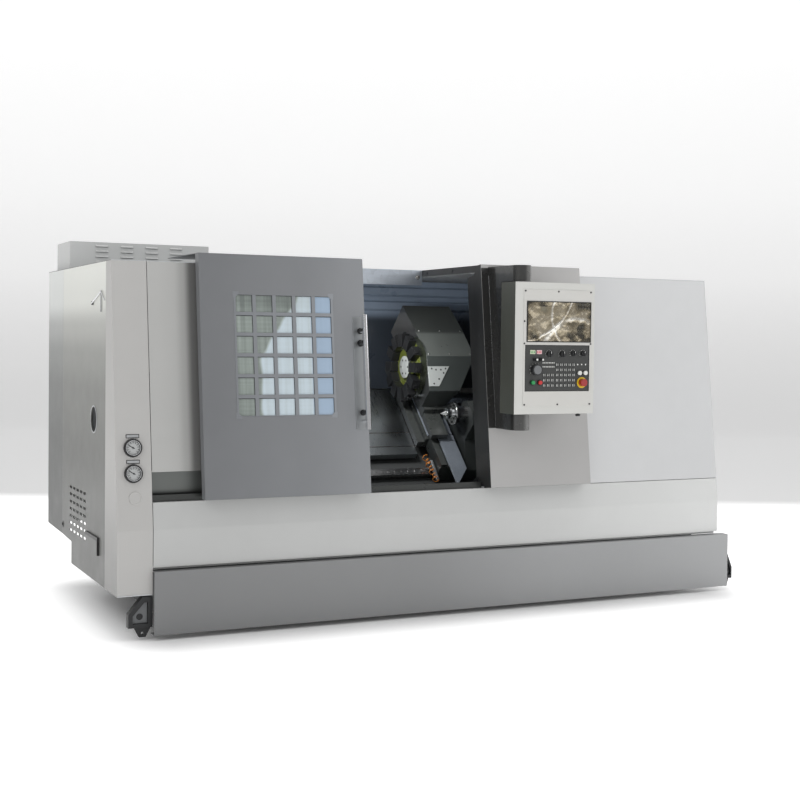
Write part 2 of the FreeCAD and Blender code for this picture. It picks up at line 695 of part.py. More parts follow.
def tailstock():
    lower = carriage("lower_guide")
    outline = lower + [
        (lower[-1][0], "saddle_bottom"), (60, "saddle_bottom"), (60, 330), (30, 370), (-60, 370),
        (-110, 330), (-110, 200), (lower[0][0], 90),
    ]
    body = section(outline, "tailstock_length", on_slope("tailstock_left"))
    bore = cylinder("quill_radius + slide_fit", 500, on_axis("tailstock_left - 50"), "x")
    piece("tailstock_body", cut(body, bore))
    flange = cylinder(63, 16, on_axis("quill_left"), "x")
    bar = cylinder("quill_radius", 360, on_axis("quill_left"), "x")
    piece("quill", fuse([flange, bar]))
    tip = "quill_left - 0.4"
    outline = [
        ("centre_tip", 0), (tip, 0), (tip, 26), ("quill_left - 14", 26), ("quill_left - 14", "centre_radius"),
        ("quill_left - 40", "centre_radius"), ("quill_left - 40", 18), ("centre_tip + 31.2", 18),
    ]
    piece("live_centre", turned(outline, on_axis(0)))


def check_document():
    """Stops if a feature failed or a sub-part has no sound solid."""
    for item in doc.Objects:
        if "Invalid" in item.State or "Error" in item.State:
            raise RuntimeError(f"{item.Name} ({item.Label}) failed: {item.State}")
    for part in pieces:
        if part.Shape.isNull() or not part.Shape.isValid() or not part.Shape.Solids:
            raise RuntimeError(f"{part.Label} has no valid shape")


def export_pieces():
    os.makedirs("parts", exist_ok=True)
    whole = FreeCAD.BoundBox()
    for part in pieces:
        part.Shape.exportStep(f"parts/{part.Label}.step")
        whole.add(part.Shape.BoundBox)
    print(len(pieces), "sub-parts", whole)


base_skirt()
bed_casting()
levelling_feet()
foot_brackets()
linear_guides()
front_column()
service_door()
rear_wall()
lower_front_panel()
upper_front_panels()
closing_walls()
work_chamber()
door_rails()
vent_box()
door_panel()
door_window()
door_handle()
control_box()
pulpit_arm()
pulpit_box()
key_panel()
controls()
headstock()
spindle()
chuck()
saddle()
way_covers()
cross_slide()
turret()
tailstock()
doc.recompute()
check_document()
export_pieces()
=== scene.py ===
"""Finishes, trim, room and camera of the turning lathe, built on its CAD frame."""

import math

import bpy
from mathutils import Matrix, Vector


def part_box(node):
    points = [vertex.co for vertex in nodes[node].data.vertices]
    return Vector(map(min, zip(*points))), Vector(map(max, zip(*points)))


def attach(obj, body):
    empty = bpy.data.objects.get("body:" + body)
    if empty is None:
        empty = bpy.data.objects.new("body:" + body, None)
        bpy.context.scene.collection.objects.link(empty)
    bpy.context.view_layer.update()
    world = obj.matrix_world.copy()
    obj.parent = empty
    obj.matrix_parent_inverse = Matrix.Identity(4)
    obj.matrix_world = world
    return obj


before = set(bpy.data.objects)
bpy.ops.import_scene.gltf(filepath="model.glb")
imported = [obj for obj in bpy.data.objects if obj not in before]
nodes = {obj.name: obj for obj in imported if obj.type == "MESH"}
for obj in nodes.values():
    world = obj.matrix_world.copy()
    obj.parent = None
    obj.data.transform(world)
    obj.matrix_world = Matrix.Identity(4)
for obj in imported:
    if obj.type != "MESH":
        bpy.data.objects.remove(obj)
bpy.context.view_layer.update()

# Camera: a normal lens at standing height, off the machine's left front corner.
# Its line is level with the window and turned a little over a quarter right angle.
yaw, pitch, roll = math.radians(25.612), math.radians(1.5755), math.radians(-0.649)
ahead = Vector((math.sin(yaw) * math.cos(pitch), math.cos(yaw) * math.cos(pitch), -math.sin(pitch)))
aside = Vector((math.cos(yaw), -math.sin(yaw), 0))
under = ahead.cross(aside)
rolled_aside = aside * math.cos(roll) + under * math.sin(roll)
rolled_under = under * math.cos(roll) - aside * math.sin(roll)
lens = bpy.data.cameras.new("camera")
lens.lens = 59.82
lens.shift_y = -0.0306
camera = bpy.data.objects.new("camera", lens)
bpy.context.scene.collection.objects.link(camera)
turn = Matrix((rolled_aside, -rolled_under, -ahead)).transposed().to_4x4()
camera.matrix_world = Matrix.Translation((-3.20509, -6.64411, 1.39896)) @ turn
bpy.context.scene.camera = camera


# Room: a pale seamless floor that curves up far behind the machine and glows a little, with a painted shadow
# dimming that glow close to the machine.
# Broad soft panels hang over it, one at the left front, one at the right and one above.
class Shade:
    """One output of a shader node, which adds and multiplies as a number does."""

    def __init__(self, tree, socket=None):
        self.tree, self.socket = tree, socket

    def node(self, kind, settings, inputs, output=0):
        """Adds a node with its settings first, then its sockets' values or links."""
        made = self.tree.nodes.new("ShaderNode" + kind)
        for name, setting in settings.items():
            if name == "stops":
                for index, (position, colour) in enumerate(setting):
                    elements = made.color_ramp.elements
                    stop = elements[index] if index < 2 else elements.new(position)
                    stop.position, stop.color = position, (*colour[:3], 1)
            else:
                setattr(made, name, setting)
        for name, given in inputs.items():
            if isinstance(given, Shade):
                self.tree.links.new(given.socket, made.inputs[name])
            else:
                made.inputs[name].default_value = given
        return Shade(self.tree, made.outputs[output])

    def math(self, operation, first, second=0.0):
        return self.node("Math", {"operation": operation}, {0: first, 1: second})

    def __add__(self, other):
        return self.math("ADD", self, other)

    def __radd__(self, other):
        return self.math("ADD", other, self)

    def __sub__(self, other):
        return self.math("SUBTRACT", self, other)

    def __rsub__(self, other):
        return self.math("SUBTRACT", other, self)

    def __mul__(self, other):
        return self.math("MULTIPLY", self, other)

    def __rmul__(self, other):
        return self.math("MULTIPLY", other, self)

    def axis(self, name):
        return self.node("SeparateXYZ", {}, {0: self}, name)

    def dot(self, other):
        return self.node("VectorMath", {"operation": "DOT_PRODUCT"}, {0: self, 1: other}, "Value")

    def scaled(self, scale):
        return self.node("Mapping", {}, {"Vector": self, "Scale": scale})

    def noise(self, scale, detail, **more):
        """Clouds at this place: a scale per metre, a detail and any other socket by name."""
        return self.node("TexNoise", {}, {"Vector": self, "Scale": scale, "Detail": detail, **more})

    def mixed(self, first, second):
        """Goes from the first colour to the second as this value goes from 0 to 1."""
        return self.node("Mix", {"data_type": "RGBA"}, {0: self, 6: first, 7: second}, 2)

    def into(self, shader, socket):
        self.tree.links.new(self.socket, shader.inputs[socket])

    def between(self, low, high):
        """Runs from 0 to 1 as the value goes from low to high."""
        return self.node("MapRange", {"interpolation_type": "SMOOTHSTEP"}, {0: self, 1: low, 2: high})


def tone(red, green, blue):
    """A screen colour of 0 to 255 as light."""
    return tuple((c / 255 / 12.92 if c < 10 else ((c / 255 + 0.055) / 1.055) ** 2.4)
                 for c in (red, green, blue))


def new_finish(name, settings):
    """A material, a Shade to build with and its shader, with fixed values on the shader."""
    material = bpy.data.materials.new(name)
    material.use_nodes = True
    shader = material.node_tree.nodes["Principled BSDF"]
    for socket, given in settings.items():
        shader.inputs[socket].default_value = given
    return material, Shade(material.node_tree), shader


def painted(name, colour, rough=0.45, metal=0.0, coat=0.0, mottle=0.05, grain=420.0, relief=0.00003,
            edge=0.0012, wear_and_glint=0.35, fades=(), fade_side=None, sides=(), shine=0.5):
    """Sprayed or powdered sheet: faint clouds, a fine skin, soft edges that wear lighter, and where the
    lightening is set strong, a painted highlight along them.
    A fade is (axis, places in metres with their tones); a side is (direction, colour)."""
    material, start, shader = new_finish(name, {"Coat Weight": coat, "Specular IOR Level": shine})
    where = start.node("TexCoord", {}, {}, "Object")
    cloud = where.noise(1.7, 4.0)
    smear = where.noise(9.0, 5.0, Roughness=0.6)
    skin = where.noise(grain, 2.0)
    soft = start.node("Bevel", {"samples": 4}, {"Radius": edge})
    flat = start.node("NewGeometry", {}, {}, "Normal")
    facing = soft.dot(flat)
    # Edges lighten as wear; set strong, the same lightening is a painted highlight.
    rim = (1 - facing).between(0.01, 0.3)
    light = 1 + (cloud - 0.5) * (mottle * 2) + (smear - 0.5) * mottle + (skin - 0.5) * (mottle
        * 0.6) + rim * wear_and_glint
    for axis, steps in fades:
        along = where.axis(axis)
        shade = along * 0 + steps[0][1]
        for (low, low_tone), (high, high_tone) in zip(steps, steps[1:]):
            shade = shade * (1 + along.between(low, high) * (high_tone / low_tone - 1))
        if fade_side:
            turned_there = flat.dot(fade_side)
            shade = 1 + (shade - 1) * turned_there.between(0.3, 0.6)
        light = light * shade
    for direction, side_colour in sides:
        turned_there = flat.dot(direction)
        held = colour if isinstance(colour, Shade) else (*colour, 1)
        colour = turned_there.between(0.6, 0.8).mixed(held, (*side_colour, 1))
    paint = start.node("VectorMath", {"operation": "SCALE"}, {0: colour, "Scale": light})
    paint.into(shader, "Base Color")
    dull = rough + (smear - 0.5) * 0.16 + (cloud - 0.5) * 0.1
    dull.into(shader, "Roughness")
    shader.inputs["Metallic"].default_value = metal
    skin_bump = start.node("Bump", {}, {"Height": skin, "Distance": relief, "Strength": 0.6, "Normal": soft})
    skin_bump.into(shader, "Normal")
    return material


def steel(name, colour, rough=0.28, brushed=(1, 40, 40), relief=0.00002, edge=0.001, spots=0.0, strength=0.5):
    """Ground, brushed or plated metal with lines drawn along one way."""
    material, start, shader = new_finish(name, {"Metallic": 1.0})
    where = start.node("TexCoord", {}, {}, "Object")
    stretched = where.scaled(brushed)
    lines = stretched.noise(22.0, 6.0, Roughness=0.7)
    cloud = where.noise(6.0, 3.0)
    soft = start.node("Bevel", {"samples": 4}, {"Radius": edge})
    light = 1 + (lines - 0.5) * 0.3 + (cloud - 0.5) * 0.2
    if spots:
        flecks = start.node("TexVoronoi", {}, {"Vector": where, "Scale": 34.0}, "Color")
        grey = start.node("RGBToBW", {}, {0: flecks})
        light = light + (grey - 0.5) * spots
    plate = start.node("VectorMath", {"operation": "SCALE"}, {0: colour, "Scale": light})
    plate.into(shader, "Base Color")
    dull = rough + (lines - 0.5) * 0.25 + (cloud - 0.5) * 0.12
    dull.into(shader, "Roughness")
    drawn = start.node("Bump", {}, {"Height": lines, "Distance": relief, "Strength": strength, "Normal": soft})
    drawn.into(shader, "Normal")
    return material


def dress(material, *names):
    """Puts a finish on CAD nodes."""
    for name in names:
        for held in nodes[name].material_slots:
            held.material = material


def edges_where(piece, test):
    """Goes into edit mode with the edges selected whose two ends pass a test."""
    bpy.ops.object.mode_set(mode="OBJECT")
    for part in (*piece.data.vertices, *piece.data.edges, *piece.data.polygons):
        part.select = False
    for side in piece.data.edges:
        side.select = all(test(piece.data.vertices[v].co) for v in side.vertices)
    bpy.ops.object.mode_set(mode="EDIT")
    bpy.ops.mesh.select_mode(type="EDGE")


bpy.ops.object.select_all(action="DESELECT")
bpy.ops.mesh.primitive_plane_add(size=1)
floor = bpy.context.object
floor.name = "floor"
bpy.ops.transform.resize(value=(90, 60, 1))
bpy.ops.transform.translate(value=(0, -14, 0))
bpy.ops.object.transform_apply(location=True, rotation=True, scale=True)
edges_where(floor, lambda end: end.y > 0)
bpy.ops.mesh.extrude_region_move(TRANSFORM_OT_translate={"value": (0, 0, 24)})
edges_where(floor, lambda end: end.y > 0 and abs(end.z) < 0.01)
bpy.ops.mesh.bevel(offset=4, segments=24)
bpy.ops.object.mode_set(mode="OBJECT")
bpy.ops.object.shade_smooth()
floor.rotation_euler = (0, 0, -yaw)
bpy.ops.object.transform_apply(location=True, rotation=True, scale=True)
far_wall, machine_reach, shade_width = (3.75, 4.45), {"X": 1.5, "Y": 0.72}, 0.42


def grey_ramp(along, steps):
    """A ramp of greys along a value, each given as a screen level."""
    stops = [(place, tone(level, level, level)) for place, level in steps]
    return along.node("ValToRGB", {"stops": stops}, {0: along})


floor_paint, start, shader = new_finish("floor_paint", {"Roughness": 0.6, "Emission Strength": 0.66})
where = start.node("TexCoord", {}, {}, "Object")
backwards = where.dot((math.sin(yaw), math.cos(yaw), 0))
up = where.axis("Z")
# Painted shade: the backdrop's colour and glow darken low down, towards the floor line.
backdrop_painted_shade = grey_ramp(up * (1 / 7), ((0.0, 216), (0.2, 224), (0.36, 236), (0.66, 246), (1.0, 252)))
glow = grey_ramp(up * (1 / 7), ((0.0, 150), (0.2, 178), (0.36, 194), (0.66, 200), (1.0, 208)))
# Painted shadow: the floor's glow falls almost to black within shade_width of the machine's footprint.
beyond = [start.math("MAXIMUM", start.math("ABSOLUTE", where.axis(axis)) - reach, 0.0)
          for axis, reach in machine_reach.items()]
away = start.math("SQRT", beyond[0] * beyond[0] + beyond[1] * beyond[1])
floor_glow_painted_shadow = away.between(0.0, shade_width).mixed((0.04, 0.04, 0.04, 1), (0.97, 0.97, 0.97, 1))
behind = backwards.between(*far_wall)
lit = behind.mixed((0.94, 0.94, 0.94, 1), backdrop_painted_shade)
lit.into(shader, "Base Color")
glowing = behind.mixed(floor_glow_painted_shadow, glow)
glowing.into(shader, "Emission Color")
floor.data.materials.append(floor_paint)

sky = bpy.data.worlds.new("sky")
sky.use_nodes = True
sky.node_tree.nodes["Background"].inputs["Color"].default_value = (1, 1, 1, 1)
sky.node_tree.nodes["Background"].inputs["Strength"].default_value = 0.43
bpy.context.scene.world = sky
bpy.context.scene.view_settings.view_transform = "Standard"


def soft_panel(name, spot, aim, width, height, power):
    """A lamp with a flat square face, hung at one place and aimed at another."""
    light = bpy.data.lights.new(name, "AREA")
    light.shape, light.size, light.size_y, light.energy = "RECTANGLE", width, height, power
    lamp = bpy.data.objects.new(name, light)
    bpy.context.scene.collection.objects.link(lamp)
    lamp.location = spot
    lamp.rotation_mode = "QUATERNION"
    lamp.rotation_quaternion = (Vector(aim) - Vector(spot)).to_track_quat("-Z", "Y")
    return lamp


soft_panel("left_panel", (-6.5, -3.5, 5.0), (0, 0, 1.0), 4, 4, 86)
soft_panel("right_panel", (5.5, -5.0, 4.5), (0.5, 0, 1.0), 4, 4, 80)
soft_panel("top_panel", (0, -0.8, 6.0), (0, 0, 0), 6, 4, 92)


# Base skirt: a long folded sheet plate along the front of the bed, powder coated grey.
# The slanted bed casting, its guides and the levelling feet stand behind it.
# Painted shade: the skirt's grey darkens towards its left end and lightens towards its right.
skirt_paint = painted("skirt_paint", tone(158, 159, 160), rough=0.5,
                      fades=[("X", [(-1.6, 0.62), (-0.4, 0.7), (0.7, 0.96), (1.7, 1.1)])])
cast_paint = painted("cast_paint", tone(58, 60, 60), rough=0.6, relief=0.0002, grain=120, mottle=0.12)
foot_black = painted("foot_black", tone(30, 31, 33), rough=0.5, relief=0.00008)
guide_ground = steel("guide_ground", tone(150, 150, 150), rough=0.25, brushed=(0.6, 30, 30))
dress(skirt_paint, "base_skirt")
dress(cast_paint, "bed_casting")
dress(foot_black, "foot_brackets", "levelling_feet")
dress(guide_ground, "linear_guides")

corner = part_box("base_skirt")[0]
lean_slope = 0.1228
lean = Matrix.Rotation(-math.atan(lean_slope), 4, "X")


def at(x, y, z):
    """A place in millimetres from the skirt's lower front left corner."""
    return Matrix.Translation(corner + Vector((x, y, z)) / 1000)


def block(name, low, high, edge=1.0, frame_at=None, segments=2):
    """A bar or plate between two corners, in millimetres, with its edges taken off."""
    bpy.ops.object.select_all(action="DESELECT")
    bpy.ops.mesh.primitive_cube_add(size=1)
    piece = bpy.context.object
    piece.name = name
    low, high = Vector(low) / 1000, Vector(high) / 1000
    piece.matrix_world = (frame_at or at(0, 0, 0)) @ Matrix.LocRotScale((low + high) / 2, None, high - low)
    bpy.ops.object.transform_apply(location=True, rotation=True, scale=True)
    bpy.ops.object.mode_set(mode="EDIT")
    bpy.ops.mesh.select_all(action="SELECT")
    bpy.ops.mesh.bevel(offset=edge / 1000, segments=segments)
    bpy.ops.object.mode_set(mode="OBJECT")
    return piece


def stepped(name, place, radius, steps, sides=48, smooth=True):
    """A round piece drawn out along its own z in steps of (rise, new radius), in millimetres."""
    bpy.ops.object.select_all(action="DESELECT")
    bpy.ops.mesh.primitive_circle_add(vertices=sides, radius=radius / 1000, fill_type="NGON")
    piece = bpy.context.object
    piece.name = name
    bpy.ops.object.mode_set(mode="EDIT")
    bpy.ops.mesh.select_mode(type="FACE")
    bpy.ops.mesh.select_all(action="SELECT")
    height = 0
    for rise, wanted in steps:
        height += rise / 1000
        bpy.ops.mesh.extrude_region_move(TRANSFORM_OT_translate={"value": (0, 0, rise / 1000)})
        if wanted != radius:
            bpy.ops.transform.resize(value=(wanted / radius, wanted / radius, 1),
                                     center_override=(0, 0, height))
        radius = wanted
    bpy.ops.mesh.select_all(action="SELECT")
    bpy.ops.mesh.normals_make_consistent(inside=False)
    bpy.ops.object.mode_set(mode="OBJECT")
    piece.matrix_world = place
    bpy.ops.object.transform_apply(location=True, rotation=True, scale=True)
    if smooth:
        bpy.ops.object.shade_smooth_by_angle(angle=math.radians(35))
    return piece


def rod(name, points, radius, cyclic=False, smooth=False):
    """A round bar or hose through points in millimetres, made a mesh."""
    curve = bpy.data.curves.new(name, "CURVE")
    curve.dimensions = "3D"
    curve.bevel_depth, curve.bevel_resolution, curve.use_fill_caps = radius / 1000, 3, True
    line = curve.splines.new("NURBS" if smooth else "POLY")
    line.points.add(len(points) - 1)
    for point, spot in zip(line.points, points):
        point.co = (*(Vector(spot) / 1000), 1)
    if smooth:
        line.order_u, line.use_endpoint_u, line.resolution_u = 3, not cyclic, 8
    line.use_cyclic_u = cyclic
    piece = bpy.data.objects.new(name, curve)
    bpy.context.scene.collection.objects.link(piece)
    bpy.ops.object.select_all(action="DESELECT")
    piece.select_set(True)
    bpy.context.view_layer.objects.active = piece
    piece.matrix_world = at(0, 0, 0)
    bpy.ops.object.convert(target="MESH")
    bpy.ops.object.transform_apply(location=True, rotation=True, scale=True)
    bpy.ops.object.shade_smooth_by_angle(angle=math.radians(50))
    return bpy.context.object


def copied(piece, shifts):
    """The piece and its copies, each with its own mesh, shifted in millimetres."""
    made = [piece]
    for shift in shifts:
        twin = piece.copy()
        twin.data = piece.data.copy()
        twin.data.transform(Matrix.Translation(Vector(shift) / 1000))
        bpy.context.scene.collection.objects.link(twin)
        made.append(twin)
    return made


def joined(name, parts):
    """Several meshes made one piece under a new name."""
    bpy.ops.object.select_all(action="DESELECT")
    for part in parts:
        part.select_set(True)
    bpy.context.view_layer.objects.active = parts[0]
    if len(parts) > 1:
        bpy.ops.object.join()
    parts[0].name = name
    return parts[0]


def fitted(piece, body, material):
    """Finishes a piece and fixes it to a moving body."""
    piece.data.materials.clear()
    piece.data.materials.append(material)
    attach(piece, body)
    return piece


facing_front = Matrix.Rotation(math.radians(90), 4, "X")
facing_left = Matrix.Rotation(math.radians(-90), 4, "Y")
facing_right = Matrix.Rotation(math.radians(90), 4, "Y")
facing_back = Matrix.Rotation(math.radians(-90), 4, "X")

# Tie-down bracket skins: a mid-grey bored plate inside each black cranked frame.
# A steel bush is pressed into the bore.
bracket_grey = painted("bracket_grey", tone(112, 114, 116), rough=0.5)


def cut_off(spot, outward):
    """Cuts away all of the piece just made that lies beyond a plane, and closes the cut."""
    bpy.ops.object.mode_set(mode="EDIT")
    bpy.ops.mesh.select_all(action="SELECT")
    bpy.ops.mesh.bisect(plane_co=spot, plane_no=outward, clear_outer=True, use_fill=True)
    bpy.ops.object.mode_set(mode="OBJECT")


for side, name, reach in ((1, "left", 0), (-0.5, "right", 3300)):
    low_x, high_x = sorted((reach + side * -92.5, reach + side * -22.5))
    skin = block(f"bracket_skin_{name}", (low_x, 43.4, 54.5), (high_x, 44.8, 151.5), 0.5)
    cut_at = corner + Vector((reach + side * -92.5, 0, 89.8)) / 1000
    cut_off(cut_at, (side * -61.7, 0, 54.7))
    fitted(skin, "root", bracket_grey)
    bush = stepped(f"bracket_bush_{name}", at(reach + side * -58, 43.4, 85) @ facing_front, 15,
                   [(1.2, 15), (0.4, 14.4), (0, 10), (-1.2, 9.6), (0, 0.5)], 32)
    fitted(bush, "root", foot_black)

# Cabinet: folded steel sheets in light grey powder coat, hung on each other round the bed.
# The front sheets lean back above a fold at hip height.
# Painted reflection: the service door and the rear wall's left flank run from dark low down to bright at the
# top.
side_painted_reflection = ("Z", [(0.3, 0.19), (0.75, 0.28), (1.1, 0.41), (1.3, 0.57), (1.44, 0.84), (1.58, 1.45),
                    (1.74, 1.55)])
# Painted shade: the column's left-facing side darkens towards the bottom.
column_paint = painted("column_paint", tone(181, 180, 178), rough=0.42,
                       fades=[("Z", [(0.2, 0.5), (0.9, 0.95)])], fade_side=(-1, 0, 0))
side_paint = painted("side_paint", tone(183, 184, 179), rough=0.4, fades=[side_painted_reflection])
# Painted light: the lower front panel grows lighter towards the right.
front_paint = painted("front_paint", tone(190, 191, 190), rough=0.42,
                      fades=[("X", [(-1.6, 0.93), (0.0, 1.02), (1.7, 1.3)])])
# Painted reflection: a dark upright band down the left front panel beside the door's edge.
left_paint = painted("left_paint", tone(178, 178, 176), rough=0.4,
                     fades=[("X", [(-1.465, 1.0), (-1.42, 0.85), (-1.38, 0.3), (-1.34, 0.34), (-1.26, 0.75),
                                   (-1.1, 1.0)])])
right_paint = painted("right_paint", tone(206, 207, 208), rough=0.42)
back_paint = painted("back_paint", tone(180, 182, 180), rough=0.45, fades=[side_painted_reflection], fade_side=(-1, 0, 0))
# Painted shade: the roof sheet's left-facing flanges are dark.
roof_paint = painted("roof_paint", tone(190, 193, 195), rough=0.45, sides=[((-1, 0, 0), tone(110, 112, 112))])
vent_paint = painted("vent_paint", tone(198, 199, 198), rough=0.45)
stainless_sheet = steel("stainless_sheet", tone(112, 116, 114), rough=0.3, brushed=(0.5, 30, 30), spots=0.1)
dress(column_paint, "front_column")
dress(side_paint, "service_door")
dress(front_paint, "lower_front_panel")
dress(left_paint, "left_front_panel")
dress(right_paint, "right_front_panel", "right_side_wall")
dress(back_paint, "rear_wall")
dress(roof_paint, "roof_sheet")
dress(vent_paint, "vent_box")
# Painted shade: the door track darkens sharply at its foot, in the recess under the door.
track_sheet = painted("track_sheet", tone(104, 107, 105), rough=0.3, metal=0.5,
                      fades=[("Z", [(0.66, 0.3), (0.69, 1.0)])])
dress(stainless_sheet, "chip_chute")
dress(track_sheet, "door_track")

# Pressure gauges: two dials in chromed bezels on the left column, each under a blank name plate.
# A knock-out plug closes the hole below them.
chrome = steel("chrome", tone(225, 226, 228), rough=0.12, brushed=(20, 20, 20))
dial_white = painted("dial_white", tone(176, 178, 178), rough=0.25, coat=0.6, mottle=0.02, wear_and_glint=0)
trim_black = painted("trim_black", tone(24, 25, 27), rough=0.38)
plate_silver = steel("plate_silver", tone(200, 202, 204), rough=0.32, brushed=(1, 30, 30))


def on_column(x, z):
    """A place on the leaning front of the cabinet, facing out."""
    return at(x, 25 + (z - 484) * lean_slope, z) @ lean


def sleeve(name, place, radius, length, wall):
    """A plain tube along its own z, rolled from sheet."""
    bpy.ops.object.select_all(action="DESELECT")
    bpy.ops.mesh.primitive_cylinder_add(vertices=56, radius=radius / 1000, depth=length / 1000,
                                        end_fill_type="NOTHING")
    piece = bpy.context.object
    piece.name = name
    piece.matrix_world = place @ Matrix.Translation((0, 0, length / 2000))
    bpy.ops.object.transform_apply(location=True, rotation=True, scale=True)
    shell = piece.modifiers.new("shell", "SOLIDIFY")
    shell.thickness = wall / 1000
    bpy.ops.object.modifier_apply(modifier="shell")
    bpy.ops.object.shade_smooth_by_angle(angle=math.radians(35))
    return piece


for number, height in enumerate((860, 743), 1):
    place = on_column(-87, height) @ facing_front
    bezel = stepped(f"gauge_bezel_{number}", place, 43,
                    [(3, 43), (9, 42), (3, 40), (0, 31), (-6, 30.5), (0, 0.5)], 64)
    fitted(bezel, "root", trim_black)
    rim = sleeve(f"gauge_rim_{number}", place @ Matrix.Translation((0, 0, 0.013)), 35, 3, 3)
    fitted(rim, "root", chrome)
    face = stepped(f"gauge_face_{number}", place @ Matrix.Translation((0, 0, 0.0093)), 33,
                   [(0.6, 33), (0.2, 0.5)], 64)
    fitted(face, "root", dial_white)
    marks = []
    for step in range(11):
        spin = Matrix.Rotation(math.radians(225 - 27 * step), 4, "Z")
        marks.append(block("mark", (20, -1, 10.2), (29, 1, 10.6), 0.1, place @ spin, 1))
    marks.append(block("needle", (-8, -1.6, 10.6), (25, 1.6, 11.4), 0.2,
                       place @ Matrix.Rotation(math.radians(150), 4, "Z"), 1))
    marks.append(stepped("boss", place @ Matrix.Translation((0, 0, 0.0102)), 4, [(2, 3.6), (0.4, 1)], 24))
    fitted(joined(f"gauge_marks_{number}", marks), "root", trim_black)
    edging = block(f"gauge_label_edge_{number}", (-31, -1.6, -9), (31, -0.2, 9), 0.5,
                   on_column(-87, height + 54))
    fitted(edging, "root", trim_black)
    label = block(f"gauge_label_{number}", (-28, -2.2, -6), (28, -1.4, 6), 0.3, on_column(-87, height + 54))
    fitted(label, "root", plate_silver)
plug = stepped("knockout_plug", on_column(-81, 631) @ facing_front, 30.5,
               [(1.2, 30.5), (1.6, 28.5), (0, 25), (-1, 24), (0, 0.5)], 56)
fitted(plug, "root", column_paint)

foot_fold = block("column_foot_fold", (-166, 22, 185), (-3, 25, 189), 0.6)
fitted(foot_fold, "root", plate_silver)

# Service door trim: a bent stay rod with its clip, the bored spindle cover ring,
# a quarter-turn latch, all bolted to the left side door.
stay = joined("stay_rod",
              [rod("stay_drop", [(-171, 352, 1486), (-171, 352, 1588)], 4),
               rod("stay_rear", [(-172, 352, 1584), (-172, 542, 1532)], 4),
               rod("stay_front", [(-172, 352, 1584), (-172, 278, 1540)], 3)])
fitted(stay, "service", chrome)
clip = block("stay_clip", (-173, 528, 1523), (-167.2, 556, 1541), 1.5)
fitted(clip, "service", trim_black)
latch = joined("side_latch", [
    block("latch_plate", (-169.5, 1222, 348), (-167.2, 1240, 380), 0.8),
    stepped("latch_boss", at(-169.5, 1231, 364) @ facing_left, 8, [(3, 7.4), (0.6, 6.4), (0, 1)], 28)])
fitted(latch, "service", trim_black)
ring = sleeve("spindle_cover_ring", at(-167.2, 508, 968) @ facing_left, 68, 2.2, 6.5)
fitted(ring, "service", plate_silver)

fitted(sleeve("bar_sleeve", at(-158, 508, 968) @ facing_right, 72, 210, 3), "root", bracket_grey)

# Vent box louvres: pressed eyelids over each slot of the drive cooling box on the roof.
hoods = []
for group in range(4):
    for row in range(5):
        hood = block("hood", (20 + 138 * group, 1308, 1858 - 28.5 * row),
                     (87 + 138 * group, 1317, 1869 - 28.5 * row), 1.2)
        edge_point = corner + Vector((0, 1308.5, 1860 - 28.5 * row)) / 1000
        cut_off(edge_point, (0, -0.72, 0.69))
        hoods.append(hood)
fitted(joined("vent_hoods", hoods), "root", vent_paint)

# Rear and right side: screwed covers over the drive cabinet, the gearing and the coolant tank.
# Each is a flanged plate with a bent grip or a row of pressed vents.
cover_paint = painted("cover_paint", tone(182, 185, 186), rough=0.45)
covers = []
for low_x, high_x, low_z, high_z in ((60, 900, 420, 1600), (960, 1500, 760, 1600), (1560, 2400, 420, 1600),
                                     (2460, 3120, 420, 1600)):
    covers.append(block("cover", (low_x, 1641, low_z), (high_x, 1645, high_z), 1.5))
    for x in (low_x + 18, (low_x + high_x) / 2, high_x - 18):
        for z in (low_z + 18, (low_z + high_z) / 2, high_z - 18):
            covers.append(stepped("cover_screw", at(x, 1645, z) @ facing_back, 7, [(2, 6.4), (1.4, 4)], 20))
fitted(joined("rear_covers", covers), "root", cover_paint)
slats = []
for column in range(2):
    for row in range(9):
        slats.append(block("slat", (1640 + 380 * column, 1644, 560 + 44 * row),
                           (1960 + 380 * column, 1649, 578 + 44 * row), 2.2))
fitted(joined("rear_vent_slats", slats), "root", vent_paint)
side_covers = []
for low_y, high_y, low_z, high_z in ((260, 900, 420, 1560), (960, 1560, 420, 1560)):
    side_covers.append(block("side_cover", (3244, low_y, low_z), (3248, high_y, high_z), 1.5))
    for y in (low_y + 18, high_y - 18):
        for z in (low_z + 18, (low_z + high_z) / 2, high_z - 18):
            side_covers.append(stepped("side_screw", at(3248, y, z) @ facing_right, 7, [(2, 6.4), (1.4, 4)],
                                       20))
fitted(joined("side_covers", side_covers), "root", cover_paint)
handles = [rod("pull", [(3246, y, 900), (3272, y, 900), (3272, y, 1040), (3246, y, 1040)], 6)
           for y in (860, 1000)]
fitted(joined("side_pulls", handles), "root", trim_black)
isolator = joined("isolator", [
    block("isolator_plate", (820, 1644, 1180), (880, 1647, 1240), 2),
    stepped("isolator_knob", at(850, 1646, 1210) @ facing_back, 20, [(2.6, 20), (0, 14)], 40)])
fitted(isolator, "root", foot_black)

# Door leaf: a deep folded sheet door on an overhead rail, a shade darker than the cabinet.
# It carries a barred window with mirror-bright safety glass behind it.
# Painted shade darkens the door's upward-facing returns; painted light makes the door and its window grid
# lighter towards the right.
door_paint = painted("door_paint", tone(128, 130, 133), rough=0.4, sides=[((0, 0, 1), tone(50, 52, 54))],
                     fades=[("X", [(-1.36, 0.78), (-0.9, 0.92), (-0.5, 1.18)])])
grid_paint = painted("grid_paint", tone(134, 137, 141), rough=0.4,
                     fades=[("X", [(-1.36, 0.8), (-0.9, 0.95), (-0.5, 1.26)])])
dress(door_paint, "sliding_door")
dress(grid_paint, "window_grid")
